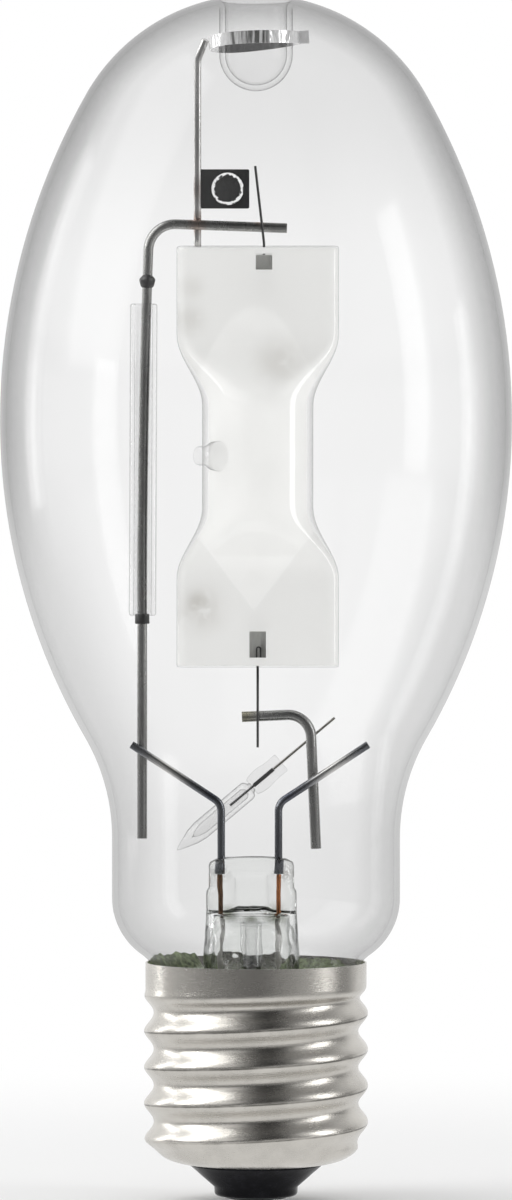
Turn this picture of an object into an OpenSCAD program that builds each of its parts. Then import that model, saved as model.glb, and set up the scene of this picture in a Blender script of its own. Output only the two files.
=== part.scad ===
// Metal halide lamp with a clear bulb, a screw base and a pinched quartz arc tube.
// Millimetres. +Z runs from the centre contact to the dome. The origin is on the
// lamp's axis, on the flat of the solder at the bottom. The view in which the
// arc tube shows its broad side is the front, and looks along +Y.

/* [Bulb glass] */
// Overall height, from the contact to the dome
lamp_h = 211; // [206:0.5:218]
// Diameter at the widest place
bulb_d = 89.8; // [88:0.2:93]
// Radius of the arc at the top of the dome
nose_r = 34.2; // [32:0.2:36]
// Radius of the arc from the dome to the widest place
shoulder_r = 116; // [110:1:125]
// Height of the top of the neck's straight part
neck_top_z = 64.1; // [62:0.1:68]
// Radius of the hollow arc from the belly to the neck
neck_fillet_r = 35; // [30:1:40]
// Outer diameter of the neck
neck_d = 50.5; // [49:0.5:52]
// Height at which the neck starts to draw in
neck_turn_z = 53.5; // [52.5:0.5:55]
// Radius with which the neck draws in
neck_turn_r = 12; // [11:0.5:13]
// Radius with which the neck runs out into its tail
tail_fillet_r = 7.6; // [7:0.1:8]
// Space between the neck's tail and the outside of the shell's skirt
tail_space = 2.5; // [2.4:0.05:2.7]
// Height of the tail's end, where the stem is sealed in
tail_end_z = 31; // [30:0.5:33]
// Thickness of the glass
glass_t = 1; // [0.8:0.05:1.1]
// Bore of the dimple in the dome
dimple_d = 10.9; // [10.4:0.1:11.4]
// Depth of the dimple, below the top of the dome
dimple_depth = 15; // [14:0.5:16]
// Radius of the lip round the dimple
dimple_lip_r = 1.5; // [1.3:0.1:2]

/* [Screw base] */
// Diameter over the thread's crests
thread_d = 39.3; // [39.2:0.05:39.5]
// Depth of the thread
thread_depth = 1.7; // [1.5:0.05:1.8]
// Pitch of the thread
thread_pitch = 6.35; // [6:0.05:6.6]
// Height of a crest on the right-hand side
thread_start_z = 14.3; // [13:0.1:16]
// Height of the shell's rim
rim_z = 42.2; // [41.8:0.1:42.6]
// Diameter of the plain skirt under the rim
skirt_d = 38.8; // [38.6:0.1:39]
// Height of the plain skirt
skirt_h = 4; // [3.5:0.1:4.5]
// Thickness of the shell's sheet
sheet_t = 0.3; // [0.25:0.05:0.4]
// Height of the shell's bottom edge
shell_bottom_z = 7.1; // [6.8:0.1:7.5]
// Diameter of the hole that the shell's edge leaves
shell_mouth_d = 24; // [23.6:0.1:24.6]
// Height over which the shell rolls in
roll_h = 4.9; // [4.5:0.1:5.5]
// Height of the cement bead above the rim
cement_proud = 0.7; // [0.4:0.1:0.8]

/* [Insulator and contact] */
// Diameter of the insulator where it leaves the shell
insulator_d = 23.7; // [23:0.1:23.8]
// Diameter of the insulator's nose
insulator_nose_d = 14.6; // [13.5:0.1:15.5]
// Length of the insulator's straight nose
insulator_nose_h = 1.6; // [1.2:0.1:2]
// Thickness of glass above the shell's edge
insulator_floor_t = 4.2; // [3.5:0.1:5]
// Diameter of the centre contact
contact_d = 11; // [10.5:0.1:12]
// Thickness of the centre contact
contact_t = 0.8; // [0.6:0.1:1]
// Diameter of the flat on the solder
solder_flat_d = 5; // [4.5:0.1:5.6]
// Height of the solder below the contact
solder_h = 0.35; // [0.25:0.05:0.5]

/* [Stem] */
// Distance of the stem's axis from the lamp's, to the left
stem_offset = 0.8; // [0.4:0.1:1]
// Outer diameter of the stem's tube
stem_d = 16.4; // [16:0.1:17]
// Thickness of the stem's wall
stem_t = 1.1; // [0.9:0.05:1.2]
// Height at which the flare ends in the tube
flare_top_z = 40; // [39:0.5:42]
// Height at which the tube starts to flatten
press_start_z = 46.5; // [46:0.5:47.5]
// Height at which the press reaches its full width
press_z = 51.5; // [51:0.25:52]
// Height of the top of the press
press_top_z = 60.6; // [60:0.2:62]
// Width of the lower part of the press
press_w = 15.9; // [15.6:0.1:16.3]
// Thickness of the press
press_t = 5.2; // [4.8:0.1:5.6]
// Height of the step on the sides of the press
press_step_z = 55.2; // [54.5:0.1:56]
// Depth of that step
press_step = 0.45; // [0.3:0.05:0.6]
// Width of the recess in each face of the press
recess_w = 6.4; // [6:0.1:6.8]
// Height of that recess
recess_h = 3.6; // [3:0.1:4]
// Depth of that recess
recess_depth = 0.7; // [0.4:0.05:0.9]
// Outer diameter of the exhaust tube
exhaust_d = 3.8; // [3.6:0.1:4]
// Thickness of the exhaust tube's wall
exhaust_t = 0.7; // [0.5:0.05:0.8]
// Height of the sealed tip of the exhaust tube
exhaust_tip_z = 23; // [21:0.5:26]
// Height of the exhaust tube's open end, under the press
exhaust_top_z = 49.2; // [48.8:0.1:49.4]

/* [Leads in the stem] */
// Diameter of the support leads
lead_d = 1.35; // [1.3:0.05:1.5]
// Place of the left support lead, from the lamp's axis
left_lead_x = -6.1; // [-6.3:0.05:-6]
// Place of the right support lead, from the lamp's axis
right_lead_x = 3.95; // [3.9:0.05:4.1]
// Depth to which the support leads are sealed in the press
lead_seal_l = 2.9; // [2.5:0.1:3.3]
// Height at which the support leads spread
lead_bend_z = 70; // [69:0.5:71]
// Radius of the bend in the support leads
lead_bend_r = 2.5; // [2:0.1:3]
// Angle through which the support leads spread
lead_spread = 56.7; // [55.5:0.1:58]
// Length of the spread part of the support leads
lead_arm_l = 17.5; // [17:0.1:18.5]
// Diameter of the seal wires
seal_d = 0.65; // [0.5:0.05:0.75]
// Diameter of the outer lead wires
outer_lead_d = 0.9; // [0.8:0.05:1]
// Height at which the shell's lead wire turns outwards
shell_lead_z = 27.5; // [26:0.5:29]
// Height at which the contact's lead wire turns to the axis
contact_lead_z = 22; // [20:0.5:24]
// Slant of the contact's lead wire on its way to the axis
contact_lead_slant = 35; // [30:1:40]

/* [Frame] */
// Diameter of the frame rod
rod_d = 1.75; // [1.6:0.05:1.8]
// Place of the frame rod's foot, from the lamp's axis
rod_x = -20; // [-20.4:0.05:-19.9]
// Height of the frame rod's foot
rod_foot_z = 63.8; // [62:0.2:66]
// Height of the rod's top arm above the arc tube
rod_arm_rise = 4.1; // [3.6:0.1:4.6]
// Radius of the slight curve in the rod's upper part
rod_curve_r = 1725; // [1650:25:1800]
// Lean of the rod at the end of that curve
rod_lean = 2.04; // [1.98:0.02:2.1]
// Radius of the rod's top bend
rod_bend_r = 4.7; // [4.2:0.1:5.2]
// Length of the rod's top arm
rod_arm_l = 19.5; // [18.5:0.1:20.5]
// Outer diameter of the quartz sleeve on the rod
sleeve_d = 4.8; // [4.6:0.1:5]
// Bore of the quartz sleeve
sleeve_bore = 3.2; // [3.1:0.05:3.4]
// Space between the quartz sleeve and the bead above it
sleeve_play = 4.35; // [4:0.05:5]
// Diameter of the bead that stops the sleeve at the top
bead_d = 2.9; // [2.6:0.1:3.2]
// Distance of that bead below the rod's arm
bead_drop = 10.2; // [9:0.1:11]
// Diameter of the collar that carries the sleeve
collar_d = 2.55; // [2.4:0.05:2.8]
// Height of the collar
collar_h = 1.8; // [1.5:0.1:2.2]
// Height of the top of the collar
collar_top_z = 103.3; // [102.8:0.1:103.8]
// Diameter of the top support wire
top_wire_d = 1.35; // [1.2:0.05:1.5]
// Place of the top support wire, from the lamp's axis
top_wire_x = -10.3; // [-10.5:0.05:-10]
// Length of the top support wire below the rod's arm
top_wire_tail_l = 4.3; // [3.5:0.1:5]
// Height below the dome at which the top support wire bends
top_wire_bend_drop = 10.8; // [10.4:0.1:11.2]
// Radius of that bend
top_wire_bend_r = 2; // [1.6:0.1:2.4]
// Lean of the top support wire above that bend
top_wire_lean = 31; // [30:0.5:31.5]
// Length of the top support wire above that bend
top_wire_tip_l = 3.4; // [3.2:0.1:3.6]
// Diameter of the return rod
return_d = 1.85; // [1.7:0.05:2]
// Place of the return rod's foot, from the lamp's axis
return_x = 10.54; // [10.3:0.02:10.8]
// Height of the return rod's foot
return_foot_z = 62; // [61:0.2:64]
// Distance of the return rod's arm below the arc tube
return_arm_drop = 8.2; // [7.8:0.1:8.8]
// Lean of the return rod
return_lean = 2.5; // [2:0.1:3]
// Radius of the return rod's bend
return_bend_r = 4; // [3.6:0.1:4.4]
// Length of the return rod's arm
return_arm_l = 8; // [7.6:0.1:8.6]
// Gap left at each weld
weld_gap = 0.05; // [0.03:0.01:0.1]

/* [Strap and getter] */
// Slack between the strap and the glass of the dimple
strap_slack = 1.3; // [1.25:0.05:1.5]
// Thickness of the strap's sheet
strap_t = 0.25; // [0.2:0.05:0.3]
// Height of the strap
strap_h = 2.2; // [1.8:0.1:2.6]
// Distance of the strap's axis from the lamp's, to the left
strap_offset = 0.3; // [0.2:0.05:0.35]
// Height of the strap below the dome
strap_drop = 7.2; // [6.8:0.1:7.6]
// Tilt of the strap, down on the left
strap_tilt = 4; // [2:0.5:5]
// Length of the strap's two ends that are turned out
strap_tail_l = 2.6; // [2:0.1:3]
// Width of the getter's plate
getter_w = 9.8; // [9.2:0.1:10.2]
// Height of the getter's plate
getter_h = 6.9; // [6.4:0.1:7.4]
// Thickness of the getter's plate
getter_t = 0.4; // [0.3:0.05:0.5]
// Height of the middle of the getter above the rod's arm
getter_rise = 6.2; // [5.8:0.1:7]
// Middle diameter of the ring pressed in the getter's plate
getter_ring_d = 5.7; // [5.2:0.1:6]
// Distance of that ring from the top support wire
getter_ring_x = 5.3; // [5:0.1:5.5]

/* [Arc tube] */
// Diameter of the quartz tube
quartz_d = 19.5; // [19:0.1:20]
// Thickness of the quartz wall
quartz_t = 1.3; // [1.1:0.05:1.5]
// Length of the arc tube over its pinches, as a share of the lamp's height
arc_share = 0.35; // [0.34:0.001:0.36]
// Height of the middle of the arc tube, as a share of the lamp's height
arc_place = 0.62; // [0.618:0.001:0.622]
// Distance of the arc tube's axis from the lamp's, to the right
arc_x = 0.3; // [0:0.05:0.5]
// Thickness of the pinches
pinch_t = 3.8; // [3.5:0.1:4.2]
// Length of each pinch that stays at its full width
pinch_l = 15.5; // [14.5:0.1:16.5]
// Length over which the tube flattens
flatten_l = 12.5; // [11.5:0.1:13.5]
// Length of each pinch that is closed
seal_l = 10.9; // [10.5:0.1:11.5]
// Direction in which the sealed stub points, from the left to the front
stub_turn = 38; // [30:1:45]
// Length of the sealed stub, from the tube's axis
stub_reach = 13.4; // [12.8:0.1:14]
// Diameter of the stub at its tip
stub_tip_d = 3; // [2.8:0.1:3.4]
// Diameter of the stub at its root
stub_root_d = 5; // [4.6:0.1:5.4]
// Width of the foils
foil_w = 2.9; // [2.7:0.05:3.1]
// Length of the foils
foil_l = 7.6; // [7:0.1:8]
// Thickness of the foils
foil_t = 0.1; // [0.08:0.01:0.14]
// Distance of each foil from the end of its pinch
foil_inset = 1.5; // [1.2:0.1:1.8]
// Distance of the top foil's middle from the arc tube's axis, to the right
top_foil_x = 1.1; // [0.8:0.05:1.3]
// Diameter of the arc tube's lead wires
wire_d = 0.45; // [0.4:0.05:0.5]
// Length of the top lead wire outside the pinch
top_wire_out_l = 14; // [12:0.1:15]
// Lean of the top lead wire to the left, in degrees
wire_lean = 6.5; // [4:0.5:8]
// Length of the bottom lead wire outside the pinch
bottom_wire_out_l = 14; // [12:0.1:15]
// Diameter of the electrode rods
electrode_d = 0.7; // [0.6:0.05:0.8]
// Length of the electrodes inside the chamber
electrode_l = 12; // [11:0.1:13]
// Diameter of the wire wound on each electrode
coil_wire_d = 0.4; // [0.35:0.01:0.45]

/* [Starter] */
// Diameter of the starter's capsule
capsule_d = 3.5; // [3.2:0.05:3.6]
// Length of the capsule's round body
capsule_l = 17.2; // [16.5:0.1:18]
// Length of the capsule's pointed end
capsule_tip_l = 4.4; // [3.8:0.1:5]
// Thickness of the capsule's wall
capsule_t = 0.7; // [0.6:0.05:0.8]
// Slant of the capsule above the level
capsule_slant = 40; // [38.5:0.5:41.5]
// Place of the capsule's tip, from the lamp's axis
capsule_x = -13.9; // [-14.2:0.1:-13.4]
// Height of the capsule's tip
capsule_z = 61.7; // [61.6:0.1:63]
// Length of the capsule's flat pinch
capsule_pinch_l = 7; // [6.5:0.1:7.5]
// Width of that pinch
capsule_pinch_w = 3.9; // [3.6:0.1:4.2]
// Thickness of that pinch
capsule_pinch_t = 1.5; // [1.3:0.1:1.7]
// Diameter of the starter's wire
starter_wire_d = 0.45; // [0.4:0.05:0.5]
// Length of the starter's wire outside the pinch
starter_wire_l = 12; // [11:0.1:13]

/* [Hidden] */
$fn = 96;

// Small clearance between pieces that are fused, cemented or pressed together
seat_gap = 0.05;
// Overlap with which a cutting shape passes the face that it cuts
cut = 1;

// Arcs of the bulb's outline, each tangent to the next
bulb_r = bulb_d / 2;
neck_r = neck_d / 2;
tail_r = skirt_d / 2 - tail_space;
dimple_r = dimple_d / 2;
lip_x = dimple_r + dimple_lip_r;
lip_rise = sqrt((nose_r - dimple_lip_r) ^ 2 - lip_x ^ 2);
nose_z = lamp_h - dimple_lip_r - lip_rise;
shoulder_x = bulb_r - shoulder_r;
nose_rise = sqrt((shoulder_r - nose_r) ^ 2 - shoulder_x ^ 2);
equator_z = nose_z - nose_rise;
lip_angle = atan2(lip_rise, lip_x);
nose_angle = atan2(nose_rise, -shoulder_x);
belly_w = bulb_r - neck_r;
belly_r = (belly_w ^ 2 + (equator_z - neck_top_z) ^ 2) / (2 * belly_w) - neck_fillet_r;
neck_angle = swing(bulb_r, belly_r, neck_r, neck_fillet_r);
tail_angle = swing(neck_r, neck_turn_r, tail_r, tail_fillet_r);
tail_z = neck_turn_z - (neck_turn_r + tail_fillet_r) * sin(tail_angle);
pit_z = lamp_h - dimple_depth + dimple_r;

// Thread and roll of the shell
thread_mid_r = (thread_d - thread_depth) / 2;
roll_top_z = shell_bottom_z + roll_h;
mouth_r = shell_mouth_d / 2;
roll_w = thread_mid_r - mouth_r;
thread_fade_h = 2.8;
shell_facets = 40;
facet_sag = thread_mid_r * (1 - cos(180 / shell_facets));
rows_per_turn = 8;
roll_rows = 7;

// Depths, from the front to the back, at which the wires lie against each other
rod_y = (lead_d + rod_d) / 2 + weld_gap;
return_y = (lead_d + return_d) / 2 + weld_gap;
arc_y = rod_y - (rod_d + wire_d) / 2 - weld_gap;
top_wire_y = rod_y + (rod_d + top_wire_d) / 2 + weld_gap;
getter_y = top_wire_y + top_wire_d / 2 + weld_gap;
starter_y = return_y + (return_d + starter_wire_d) / 2 + weld_gap;

// Heights and places that follow from the sizes above
arc_l = lamp_h * arc_share;
arc_z = lamp_h * arc_place;
arc_top_z = arc_z + arc_l / 2;
arc_bottom_z = arc_z - arc_l / 2;
waist_half_l = arc_l / 2 - pinch_l - flatten_l;
chamber_l = arc_l - 2 * seal_l;
chamber_slit = 0.8;
arch_h = 6;
rod_arm_z = arc_top_z + rod_arm_rise;
rod_curve_z = rod_arm_z - rod_curve_r * sin(rod_lean) - rod_bend_r * cos(rod_lean);
rod_straight_l = rod_curve_z - rod_foot_z;
bead_z = rod_arm_z - bead_drop;
sleeve_l = bead_z - sleeve_play - collar_top_z - seat_gap;
return_l = arc_bottom_z - return_arm_drop - return_foot_z - return_bend_r;
getter_z = rod_arm_z + getter_rise;
strap_z = lamp_h - strap_drop;
strap_r = dimple_r + glass_t + strap_slack;
contact_top_z = solder_h + contact_t;
insulator_nose_z = contact_top_z + insulator_nose_h;
lead_seal_z = press_top_z - lead_seal_l;
stem_cavity_z = press_z - 0.9;
outer_lead_z = stem_cavity_z - 1 - seat_gap;
insulator_top_z = shell_bottom_z + insulator_floor_t;

// Angle through which an outline swings in from a convex arc to a concave one
function swing(from_r, convex_r, to_r, concave_r) =
  acos(1 - (from_r - to_r) / (convex_r + concave_r));

// Points on an arc, in steps of about 4 degrees or finer
function arc(centre, r, from, to, step = 4) =
  let (n = max(2, ceil(abs(to - from) / step)))
  [for (i = [0:n]) let (a = from + (to - from) * i / n)
    [centre[0] + r * cos(a), centre[1] + r * sin(a)]];

// Outline of the bulb's glass, a distance t inside its outer face
function bulb_outline(t) = concat(
  arc([0, pit_z], dimple_r + t, -90, 0, 6),
  arc([lip_x, lamp_h - dimple_lip_r], dimple_lip_r - t, 180, lip_angle, 15),
  arc([0, nose_z], nose_r - t, lip_angle, nose_angle, 3),
  arc([shoulder_x, equator_z], shoulder_r - t, nose_angle, 0, 2),
  arc([bulb_r - belly_r, equator_z], belly_r - t, 0, -neck_angle, 2),
  arc([neck_r + neck_fillet_r, neck_top_z], neck_fillet_r + t, 180 - neck_angle, 180, 4),
  arc([neck_r - neck_turn_r, neck_turn_z], neck_turn_r - t, 0, -tail_angle, 5),
  tail_outline(t),
  [[tail_r - t, tail_end_z]]
);

// Lower end of that outline, from the neck's slope to the tail
function tail_outline(t) =
  arc([tail_r + tail_fillet_r, tail_z], tail_fillet_r + t, 180 - tail_angle, 180, 5);

// Points of a list in the other order
function turned(list) = [for (i = [len(list) - 1:-1:0]) list[i]];

// Smooth rise from 0 to 1 while x goes from 0 to 1
function ease(x) = 0.5 - 0.5 * cos(180 * min(1, max(0, x)));

// A round or flattened cross-section, half as wide as w and half as deep as d
function slab_section(w, d, z, n = 13) = concat(
  [for (i = [0:n - 1]) let (a = -90 + 180 * (i + 0.5) / n)
    [w - d + d * cos(a), d * sin(a), z]],
  [for (i = [0:n - 1]) let (a = 90 + 180 * (i + 0.5) / n)
    [d - w + d * cos(a), d * sin(a), z]]
);

// A cross-section moved to the left
function moved_left(section, x) = [for (p = section) [p[0] - x, p[1], p[2]]];

// Half width of a tube of radius r that has been flattened to the half depth d
function flattened_w(r, d) = d + (r - d) * PI / 2;

// Half depth of the arc tube at a height from its middle
function quartz_depth(h) =
  quartz_d / 2 - (quartz_d - pinch_t) / 2 * ease((abs(h) - waist_half_l) / flatten_l);

// Section of the chamber, which closes in an arch at each end
function chamber_section(h) =
  let (
    d = max(quartz_depth(h) - quartz_t, chamber_slit / 2),
    arch = sqrt(1 - (max(0, abs(h) - chamber_l / 2 + arch_h) / (arch_h + 0.001)) ^ 2),
    w = (flattened_w(quartz_d / 2, quartz_depth(h)) - quartz_t) * arch
  )
  slab_section(max(w, d * arch), d * arch, h);

// Radius of the middle of the shell's thread at a height and a direction
function thread_r(base_r, z, a, fade) =
  base_r + thread_depth / 2 * fade * cos(360 * (z - thread_start_z) / thread_pitch - a);

// Share of the thread's depth at a height: none on the skirt and at the shell's edge
function thread_fade(z) =
  ease((rim_z - skirt_h - z) / thread_fade_h) * ease((z - shell_bottom_z - 1) / thread_fade_h);

// Rows of the shell, from the rim to the edge: radius of the middle, height and fade
function shell_rows(t) =
  let (
    n = ceil((rim_z - skirt_h - roll_top_z) * rows_per_turn / thread_pitch),
    top = rim_z - skirt_h
  )
  concat(
    [[skirt_d / 2 - t, rim_z, 0], [skirt_d / 2 - t, top + 0.3, 0]],
    [for (i = [0:n])
      let (z = top - (top - roll_top_z) * i / n, f = ease((top - z) / thread_fade_h))
      [skirt_d / 2 + (thread_mid_r - skirt_d / 2) * f - t, z, thread_fade(z)]],
    [for (i = [1:roll_rows])
      let (a = 90 * i / roll_rows, z = roll_top_z - (roll_h - t) * sin(a))
      [mouth_r + (roll_w - t) * cos(a), z, thread_fade(z)]]
  );

// A solid through rings of points, closed at its first and last ring
module loft(sections) {
  n = len(sections[0]);
  m = len(sections);
  polyhedron(
    points = [for (s = sections) each s],
    faces = concat(
      [[for (i = [0:n - 1]) i]],
      [[for (i = [n - 1:-1:0]) (m - 1) * n + i]],
      [for (j = [0:m - 2], i = [0:n - 1])
        [j * n + i, (j + 1) * n + i, (j + 1) * n + (i + 1) % n, j * n + (i + 1) % n]]
    )
  );
}

// A ring-shaped solid through closed rows of points, the last joined to the first
module ring_loft(rows) {
  n = len(rows[0]);
  m = len(rows);
  polyhedron(
    points = [for (s = rows) each s],
    faces = [for (j = [0:m - 1], i = [0:n - 1])
      let (k = (j + 1) % m, l = (i + 1) % n)
      each [[j * n + i, j * n + l, k * n + l], [j * n + i, k * n + l, k * n + i]]]
  );
}

// Places along a rod that runs up from the origin: x, z and lean from upright.
// Each step is a straight length, then the radius and the angle of a bend towards
// +X, or towards -X if the angle is negative.
function rod_places(steps, i = 0, x = 0, z = 0, a = 0) =
  i == len(steps) ? [] :
  let (
    l = steps[i][0],
    r = steps[i][1] * sign(steps[i][2]),
    turn = steps[i][2],
    n = turn == 0 ? 0 : 2 + ceil(abs(turn) / 12),
    from = [x + l * sin(a), z + l * cos(a)],
    centre = [from[0] + r * cos(a), from[1] - r * sin(a)],
    bend = [for (k = [1:1:n]) let (b = a + turn * k / n)
      [centre[0] - r * cos(b), centre[1] + r * sin(b), b]],
    last = n == 0 ? [from[0], from[1], a] : bend[n - 1]
  )
  concat(
    i == 0 ? [[x, z, a]] : [],
    l > 0 ? [[from[0], from[1], a]] : [],
    bend,
    rod_places(steps, i + 1, last[0], last[1], last[2])
  );

// A bent rod, as a round section carried along those places
module bent_rod(d, steps, sides = 16) {
  loft([for (p = rod_places(steps))
    [for (i = [0:sides - 1]) let (b = 360 * i / sides)
      [p[0] + d / 2 * cos(b) * cos(p[2]), d / 2 * sin(b), p[1] - d / 2 * cos(b) * sin(p[2])]]]);
}

// A hollow round tube
module tube(d, bore, h) {
  difference() {
    cylinder(d = d, h = h);
    translate([0, 0, -cut]) cylinder(d = bore, h = h + 2 * cut);
  }
}

// Places its children on the frame rod's curved part, along the rod at a height
module on_rod(z) {
  lean = asin((z - rod_curve_z) / rod_curve_r);
  translate([rod_x + rod_curve_r * (1 - cos(lean)), rod_y, z])
    rotate([0, lean, 0])
      children();
}

// Places its children at an end of the arc tube, with +Z pointing out of the pinch
module at_pinch(side) {
  translate([arc_x, arc_y, arc_z + side * arc_l / 2])
    rotate([side > 0 ? 0 : 180, 0, 0])
      children();
}

// Places its children at the capsule's tip, with +Z along the capsule
module along_capsule() {
  translate([capsule_x, starter_y, capsule_z])
    rotate([0, 90 - capsule_slant, 0])
      children();
}

module outer_bulb() {
  color("aliceblue", 0.3)
    rotate_extrude()
      polygon(concat(bulb_outline(0), turned(bulb_outline(glass_t))));
}

// Outer or inner form of the stem, a distance t inside its outer face
function stem_sections(t) =
  let (
    tube_r = stem_d / 2 - t,
    flare_r = tail_r - glass_t - seat_gap - t,
    flare_h = flare_top_z - tail_end_z
  )
  concat(
    [for (i = [0:6])
      let (f = i / 6, open = 1 - sin(90 * f), r = tube_r + (flare_r - tube_r) * open)
      moved_left(slab_section(r, r, tail_end_z + flare_h * f), stem_offset * (1 - open))],
    [for (i = [0:6])
      let (
        f = i / 6,
        w = tube_r + (press_w / 2 - t - tube_r) * ease(f),
        d = tube_r + (press_t / 2 - t - tube_r) * ease(f),
        z = press_start_z + (press_z - t - press_start_z) * f
      )
      moved_left(slab_section(w, d, z), stem_offset)]
  );

// Upper part of the stem, where the tube is pressed flat
function press_sections() =
  let (
    w = press_w / 2,
    d = press_t / 2,
    sections = [
      slab_section(w, d, press_step_z - press_step),
      slab_section(w - press_step, d, press_step_z),
      slab_section(w - press_step, d, press_top_z - 0.8),
      slab_section(w - press_step - 0.2, d - 0.3, press_top_z - 0.2),
      slab_section(w - press_step - 1, d - 1, press_top_z)
    ]
  )
  [for (s = sections) moved_left(s, stem_offset)];

// Holes in the press for the leads, with a clearance
module lead_holes() {
  for (x = [left_lead_x, right_lead_x]) {
    translate([x, 0, lead_seal_z - seat_gap])
      cylinder(d = lead_d + 2 * seat_gap, h = lead_seal_l + cut);
    translate([x, 0, stem_cavity_z - 2])
      cylinder(d = seal_d + 2 * seat_gap, h = lead_seal_z - stem_cavity_z + 2);
  }
}

module stem() {
  recess_z = press_top_z - 2.4 - recess_h;
  color("lightcyan", 0.5)
    difference() {
      loft(concat(stem_sections(0), press_sections()));
      translate([0, 0, -0.01]) loft(stem_sections(stem_t));
      for (side = [-1, 1])
        translate([-recess_w / 2 - stem_offset / 2, side * press_t / 2 - recess_depth, recess_z])
          cube([recess_w, 2 * recess_depth, recess_h]);
      translate([-stem_offset, 0, exhaust_top_z + exhaust_t])
        rotate([90, 0, 0])
          cylinder(d = exhaust_d, h = stem_d);
      lead_holes();
    }
}

module exhaust_tube() {
  exhaust_r = exhaust_d / 2;
  color("lightcyan", 0.5)
    translate([-stem_offset, 0, exhaust_tip_z])
      rotate_extrude()
        polygon(concat(
          [[0, 0]],
          arc([0, exhaust_r], exhaust_r, -60, 0, 15),
          [[exhaust_r, exhaust_top_z - exhaust_tip_z]],
          [[exhaust_r - exhaust_t, exhaust_top_z - exhaust_tip_z]],
          arc([0, exhaust_r + exhaust_t], exhaust_r - exhaust_t, 0, -90, 15)
        ));
}

// A lead that stands in the press and spreads to one side
module support_lead(x, side) {
  turn_l = lead_bend_r * tan(lead_spread / 2);
  color("dimgray")
    translate([x, 0, lead_seal_z])
      bent_rod(lead_d, [
        [lead_bend_z - turn_l - lead_seal_z, lead_bend_r, side * lead_spread],
        [lead_arm_l, 0, 0]
      ]);
}

module left_support_lead() {
  support_lead(left_lead_x, -1);
}

module right_support_lead() {
  support_lead(right_lead_x, 1);
}

// A copper-coated wire that passes through the press
module seal_wire(x) {
  color("sienna")
    translate([x, 0, stem_cavity_z - 1])
      cylinder(d = seal_d, h = lead_seal_z - stem_cavity_z + 1 - seat_gap);
}

module left_seal_wire() {
  seal_wire(left_lead_x);
}

module right_seal_wire() {
  seal_wire(right_lead_x);
}

module shell_lead_wire() {
  bend_r = 1.5;
  wall_r = thread_r(thread_mid_r - sheet_t, shell_lead_z, 180, 1);
  color("gray")
    translate([left_lead_x, 0, outer_lead_z])
      mirror([0, 0, 1])
        bent_rod(outer_lead_d, [
          [outer_lead_z - shell_lead_z - bend_r, bend_r, -90],
          [wall_r + left_lead_x - bend_r - 2 * seat_gap - 0.2, 0, 0]
        ]);
}

module contact_lead_wire() {
  bend_r = 2;
  a = contact_lead_slant;
  slant_l = (right_lead_x - 2 * bend_r * (1 - cos(a))) / sin(a);
  drop = 2 * bend_r * sin(a) + slant_l * cos(a);
  color("gray")
    translate([right_lead_x, 0, outer_lead_z])
      mirror([0, 0, 1])
        bent_rod(outer_lead_d, [
          [outer_lead_z - contact_lead_z, bend_r, -a],
          [slant_l, bend_r, a],
          [contact_lead_z - drop - contact_top_z, 0, 0]
        ]);
}

module frame_rod() {
  color("gray")
    translate([rod_x, rod_y, rod_foot_z])
      bent_rod(rod_d, [
        [rod_straight_l, rod_curve_r, rod_lean],
        [0, rod_bend_r, 90],
        [rod_arm_l, 0, 0]
      ]);
}

module rod_sleeve() {
  color("white", 0.5)
    translate([rod_x + 0.05, rod_y, collar_top_z + seat_gap])
      rotate([0, 0.25, 0])
        tube(sleeve_d, sleeve_bore, sleeve_l);
}

module sleeve_bead() {
  color("dimgray")
    on_rod(bead_z)
      difference() {
        sphere(d = bead_d);
        translate([0, 0, -bead_d]) cylinder(d = rod_d + 2 * weld_gap, h = 2 * bead_d);
      }
}

module sleeve_collar() {
  chamfer = 0.25;
  bore_r = rod_d / 2 + weld_gap;
  color("dimgray")
    translate([rod_x, rod_y, collar_top_z - collar_h])
      rotate_extrude()
        polygon([
          [bore_r, 0], [collar_d / 2 - chamfer, 0], [collar_d / 2, chamfer],
          [collar_d / 2, collar_h], [bore_r, collar_h]
        ]);
}

module top_support_wire() {
  foot_z = rod_arm_z - top_wire_tail_l;
  bend_z = lamp_h - top_wire_bend_drop;
  color("gray")
    translate([top_wire_x, top_wire_y, foot_z])
      rotate([0, 0, -45])
        bent_rod(top_wire_d, [
          [bend_z - foot_z, top_wire_bend_r, top_wire_lean],
          [top_wire_tip_l, 0, 0]
        ]);
}

module dome_strap() {
  gap_turn = 5;
  color("silver")
    translate([-strap_offset, 0, strap_z])
      rotate([0, -strap_tilt, 0]) {
        rotate([0, 0, gap_turn])
          rotate_extrude(angle = 360 - 2 * gap_turn)
            translate([strap_r, -strap_h / 2])
              square([strap_t, strap_h]);
        for (side = [-1, 1])
          rotate([0, 0, side * gap_turn])
            translate([strap_r, side * strap_t / 2 - strap_t / 2, -strap_h / 2])
              rotate([0, side > 0 ? 0 : 35, 0])
                cube([strap_tail_l - strap_t - (side > 0 ? 1 : 0), strap_t, strap_h / 2]);
      }
}

module getter_plate() {
  corner_r = 0.8;
  lap = top_wire_d / 2;
  color("darkslategray")
    translate([top_wire_x - lap, getter_y, getter_z])
      rotate([-90, 0, 0])
        difference() {
          union() {
            translate([0, -getter_h / 2, 0]) cube([getter_w - corner_r, getter_h, getter_t]);
            for (side = [-1, 1])
              translate([getter_w - corner_r, side * (getter_h / 2 - corner_r), 0])
                cylinder(r = corner_r, h = getter_t);
            translate([getter_w - corner_r - cut, corner_r - getter_h / 2, 0])
              cube([corner_r + cut, getter_h - 2 * corner_r, getter_t]);
          }
          translate([getter_ring_x + lap, 0, -cut])
            cylinder(d = getter_ring_d - 0.2, h = getter_t + 2 * cut);
        }
}

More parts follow.
